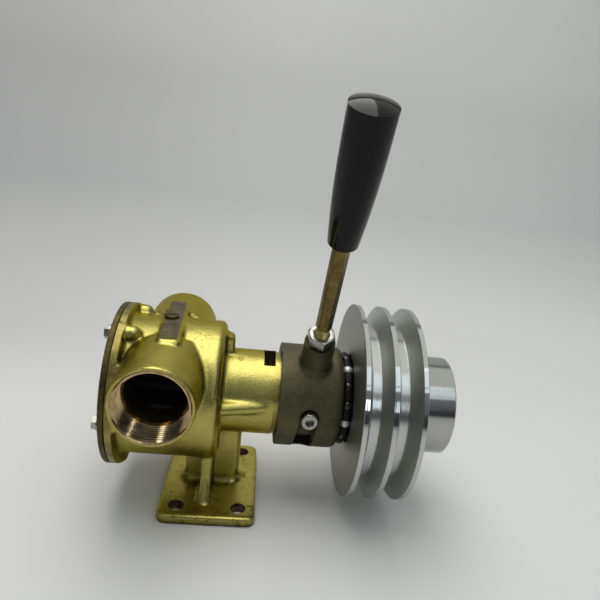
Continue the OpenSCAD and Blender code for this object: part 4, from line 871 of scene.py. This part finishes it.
def makeCollar(c):
    slot = cut(turnedBar("slotTool", c["start"] - mm, c["end"] + mm, c["radius"] - 0.05 * mm),
               turnedBar("slotCore", c["start"] - 2 * mm, c["end"] + 2 * mm, c["boreR"] + 0.1 * mm),
               copyNode("clutch_collar", "collarCopy"))      # what is left of the tube is the slot
    slotSide = block("keep", (c["start"] + 0.3 * mm, -0.1, -0.1), (c["end"] - 10 * mm, 0, 0.2))
    cut(slot, slotSide, how="INTERSECT")
    wide = slot.copy()                           # the same, reaching out past the cast skin
    wide.data = slot.data.copy()
    bpy.context.collection.objects.link(wide)
    wide.data.transform(Matrix.Translation((0, 0, shaftZ)) @ Matrix.Diagonal((1, 1.03, 1.03, 1))
                        @ Matrix.Translation((0, 0, -shaftZ)))
    arc = [math.radians(15 * step) for step in range(7)]
    profile = [(c["start"] - 3 * mm, c["radius"])]
    profile += [(c["end"] - c["edgeLong"] * (1 - math.sin(a)),
                 c["radius"] - c["edgeDeep"] * (1 - math.cos(a))) for a in arc]
    piece = turned("collarCasting", profile)
    boss = rod("boss", (0, 0, 15 * mm), (0, 0, c["bossEnd"] + 0.7 * mm), c["bossR"], 64)
    root = lathe("root", [(15 * mm, c["rootR"]), (c["rootEnd"] - 3 * mm, c["rootR"]),
                          (c["rootEnd"], c["bossR"])], 64)
    join(piece, onLever(boss), onLever(root))
    modify(piece, "REMESH", mode="VOXEL", voxel_size=c["voxel"], adaptivity=0)
    modify(piece, "SMOOTH", factor=0.5, iterations=c["smoothing"])
    ripple = bpy.data.textures.new("collarRipple", "CLOUDS")
    ripple.noise_scale = c["rippleSize"]
    ripple.noise_depth = 3
    modify(piece, "DISPLACE", texture=ripple, texture_coords="LOCAL", strength=c["ripple"], mid_level=0.75)
    endMill = onLever(block("endMill", (-0.03, -0.03, c["bossEnd"]), (0.03, 0.03, c["bossEnd"] + 0.02)))
    rodHole = onLever(rod("rodHole", (0, 0, c["boreR"] + 3 * mm), (0, 0, c["bossEnd"] + mm),
                          c["rodHoleR"], 48))
    return cut(piece, endMill, rodHole,
               block("faceMill", (c["start"] - 0.03, -0.1, 0), (c["start"], 0.1, 0.2)),
               turnedBar("boreTool", c["start"] - mm, c["end"] + mm, c["boreR"]), slot, wide)


def markCollar(piece, c):                        # 0 cast skin, 1 machined
    up = Vector((0, -math.sin(leverLean), math.cos(leverLean)))
    for face in piece.data.polygons:
        fromAxis = face.center - Vector((lever["x"], 0, shaftZ))
        r = math.hypot(face.center.y, face.center.z - shaftZ)
        topped = fromAxis.dot(up) > c["bossEnd"] - 0.02 * mm
        faced = face.center.x < c["start"] + 0.02 * mm
        face.material_index = int(topped or faced or r < c["boreR"] + 0.05 * mm)
    return piece


def makeRod(c):
    piece = threadForm("leverRod", c["barStart"] + 0.3 * mm - c["threadStart"],
                       c["threadR"] - c["threadDepth"], c["threadDepth"], c["threadPitch"], 48)
    piece.data.transform(Matrix.Translation((0, 0, c["threadStart"])))
    bar = softenEdges(sixSided("bar", c["barStart"], c["barEnd"], c["barFlats"], c["barTurn"]), 0.25 * mm)
    corner = c["barFlats"] / math.sqrt(3)
    low, high = c["barStart"], c["barEnd"]
    ends = lathe("barEnds", [(low, corner - 0.75 * mm), (low + 0.8 * mm, corner + 0.05 * mm),
                             (high - 0.8 * mm, corner + 0.05 * mm), (high, corner - 0.75 * mm)], 64)
    cut(bar, ends, how="INTERSECT")
    stud = rod("stud", (0, 0, c["barEnd"] - mm), (0, 0, c["studEnd"]), c["studR"], 48)
    cut(piece, bar, stud, how="UNION")
    return onLever(piece)


def makeLocknut(c):
    piece = sixSided("locknut", c["nutStart"], c["nutEnd"], c["nutFlats"], c["nutTurn"])
    corner, flat = c["nutFlats"] / math.sqrt(3), c["nutFlats"] / 2
    rise = (corner + 0.1 * mm - 0.95 * flat) * math.tan(math.radians(30))
    shape = lathe("nutEnds", [(c["nutStart"], 0.95 * flat), (c["nutStart"] + rise, corner + 0.1 * mm),
                              (c["nutEnd"] - rise, corner + 0.1 * mm), (c["nutEnd"], 0.95 * flat)])
    cut(piece, shape, how="INTERSECT")
    boreR = c["threadR"] + 0.06 * mm
    bore = lathe("nutBore", [(c["nutStart"] - mm, boreR), (c["nutEnd"] - 0.9 * mm, boreR),
                             (c["nutEnd"] + 0.2 * mm, c["threadR"] + 1.1 * mm)], 64)
    cut(piece, bore)
    softenEdges(piece, 0.16 * mm, 2, 20)
    return onLever(piece)


clutchCollar = markCollar(makeCollar(collar), collar)
dress(clutchCollar, sandCastBronze, facedBronze)
smoothBy(clutchCollar, 34)
leverRod = makeRod(lever)
dress(leverRod, rodBrass)
smoothBy(leverRod, 30)
locknut = makeLocknut(lever)
dress(locknut, zincPlate)
smoothBy(locknut, 25)
for piece, name, node, slot in ((clutchCollar, "collarCasting", "clutch_collar", "cast_bronze"),
                                (leverRod, "leverRod", "lever_rod", "brass"),
                                (locknut, "locknut", "lever_locknut", "zinc")):
    piece.name = name
    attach(piece, "lever")
    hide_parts(node)
    low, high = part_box(node)
    corners = [Vector(v.co) for v in piece.data.vertices]
    print(name, "made,", len(piece.data.polygons), "faces; off its box by",
          [round(1000 * (min(v[i] for v in corners) - low[i]), 2) for i in range(3)],
          [round(1000 * (max(v[i] for v in corners) - high[i]), 2) for i in range(3)])

studio = {                                       # floor, wall and sky
    "floorTone": (0.82, 0.82, 0.80), "wallTone": (0.663, 0.668, 0.668), "wallTop": (0.80, 0.80, 0.795),
    "floorReach": 3.0, "wallDistance": 0.75, "wallHeight": 1.4, "bend": 0.35,
    "skyHigh": (0.36, 0.375, 0.39), "skyLow": (0.05, 0.053, 0.06),
}
ceiling = {"place": (-0.1, 0.1, 1.3), "size": (0.75, 1.4), "power": 9.2, "colour": (1.0, 0.985, 0.945)}
farCeiling = {"place": (0.62, 0.1, 1.3), "size": (0.66, 1.4), "power": 1.15, "colour": (0.97, 1.0, 0.84)}
window = {                         # panes and strips of light behind the camera, seen from the pump
    "pump": (0.05, 0, 0.1), "distance": 1.5, "colour": (0.84, 0.95, 1.0),
    "panes": ((27, 26, 40.3, 60, 0.95), (27, 26, 35, 39.3, 0.95),    # heading, spread, low, high, radiance
              (15.4, 3.4, 13.5, 25, 3.9), (-25, 4.4, 13.5, 25, 3.0)),
}


def makeFloor(s):
    bpy.ops.object.select_all(action="DESELECT")
    bpy.ops.mesh.primitive_plane_add(size=2 * s["floorReach"],
                                     location=(0, s["wallDistance"] - s["floorReach"], 0))
    floor = settle(bpy.context.object)
    floor.name = "floor"
    bpy.ops.object.mode_set(mode="EDIT")
    bpy.ops.mesh.select_all(action="DESELECT")
    bpy.ops.object.mode_set(mode="OBJECT")
    for edge in floor.data.edges:
        edge.select = all(floor.data.vertices[v].co.y > s["wallDistance"] - mm for v in edge.vertices)
    bpy.ops.object.mode_set(mode="EDIT")
    bpy.ops.mesh.select_mode(type="EDGE")
    bpy.ops.mesh.extrude_region_move(TRANSFORM_OT_translate={"value": (0, 0.25, s["wallHeight"])})
    bpy.ops.object.mode_set(mode="OBJECT")
    for edge in floor.data.edges:
        edge.select = all(abs(floor.data.vertices[v].co.y - s["wallDistance"]) < mm
                          and floor.data.vertices[v].co.z < mm for v in edge.vertices)
    bpy.ops.object.mode_set(mode="EDIT")
    bpy.ops.mesh.bevel(offset=s["bend"], segments=24, affect="EDGES")
    bpy.ops.object.mode_set(mode="OBJECT")
    smoothBy(floor, 60)
    f = Finish("floorPaper")
    height = f.part("Z")
    # painted shade and light on the backdrop: darker up the bend, lighter again towards the wall's top
    tone = f.ramp(height * 1.2, (0.01, s["floorTone"]), (0.16, s["wallTone"]), (0.5, s["wallTop"]))
    # painted shade: the backdrop darkened towards the back, more on the left
    back, aside = (f.part("Y") - 0.05).fade(0, 0.25), f.part("X") - 0.15
    shade = back * ((1 - aside.fade(0, 0.5)) * 0.07 + (aside * -1).fade(0, 0.5) * 0.12)     # darker left
    mottle = (f.noise(0.25, 3) * 0.03 + 0.985) * (1 - shade)
    f.set(colour=f.mixed(1, tone, f.mixed(mottle, (0, 0, 0), (1, 1, 1)), "MULTIPLY"), rough=0.9, specular=0.2)
    dress(floor, f.material)


def makeLamp(name, place, target, size, power, colour):
    bpy.ops.object.light_add(type="AREA", location=place)
    lamp = bpy.context.object
    lamp.name = name
    lamp.rotation_euler = (Vector(target) - Vector(place)).to_track_quat("-Z", "Y").to_euler()
    lamp.data.shape = "RECTANGLE"
    lamp.data.size, lamp.data.size_y = size
    lamp.data.energy = power
    lamp.data.color = colour


def makeSky(s):                                  # brighter overhead than at the horizon
    world = bpy.data.worlds.new("studio")
    bpy.context.scene.world = world
    world.use_nodes = True
    tree = world.node_tree
    place = tree.nodes.new("ShaderNodeTexCoord")
    height = tree.nodes.new("ShaderNodeSeparateXYZ")
    ramp = tree.nodes.new("ShaderNodeValToRGB")
    ramp.color_ramp.elements[0].position, ramp.color_ramp.elements[1].position = 0.12, 0.85
    ramp.color_ramp.elements[0].color = (*s["skyLow"], 1)
    ramp.color_ramp.elements[1].color = (*s["skyHigh"], 1)
    tree.links.new(place.outputs["Generated"], height.inputs[0])
    tree.links.new(height.outputs["Z"], ramp.inputs[0])
    tree.links.new(ramp.outputs["Color"], tree.nodes["Background"].inputs["Color"])


def makeWindow(w):
    pump = Vector(w["pump"])
    for heading, spread, low, high, radiance in w["panes"]:
        side, middle = math.radians(heading), math.radians((low + high) / 2)
        level = math.cos(middle)
        aim = Vector((math.sin(side) * level, -math.cos(side) * level, math.sin(middle)))
        wide, tall = (w["distance"] * math.radians(angle) for angle in (spread, high - low))
        power = radiance * math.pi * wide * tall
        makeLamp("windowPane", pump + w["distance"] * aim, pump, (wide, tall), power, w["colour"])


makeFloor(studio)
makeSky(studio)
makeWindow(window)
for name, lamp in (("ceilingLamp", ceiling), ("farCeilingLamp", farCeiling)):
    x, y, z = lamp["place"]
    makeLamp(name, (x, y, z), (x, y, 0), lamp["size"], lamp["power"], lamp["colour"])
bpy.context.scene.view_settings.view_transform = "Standard"
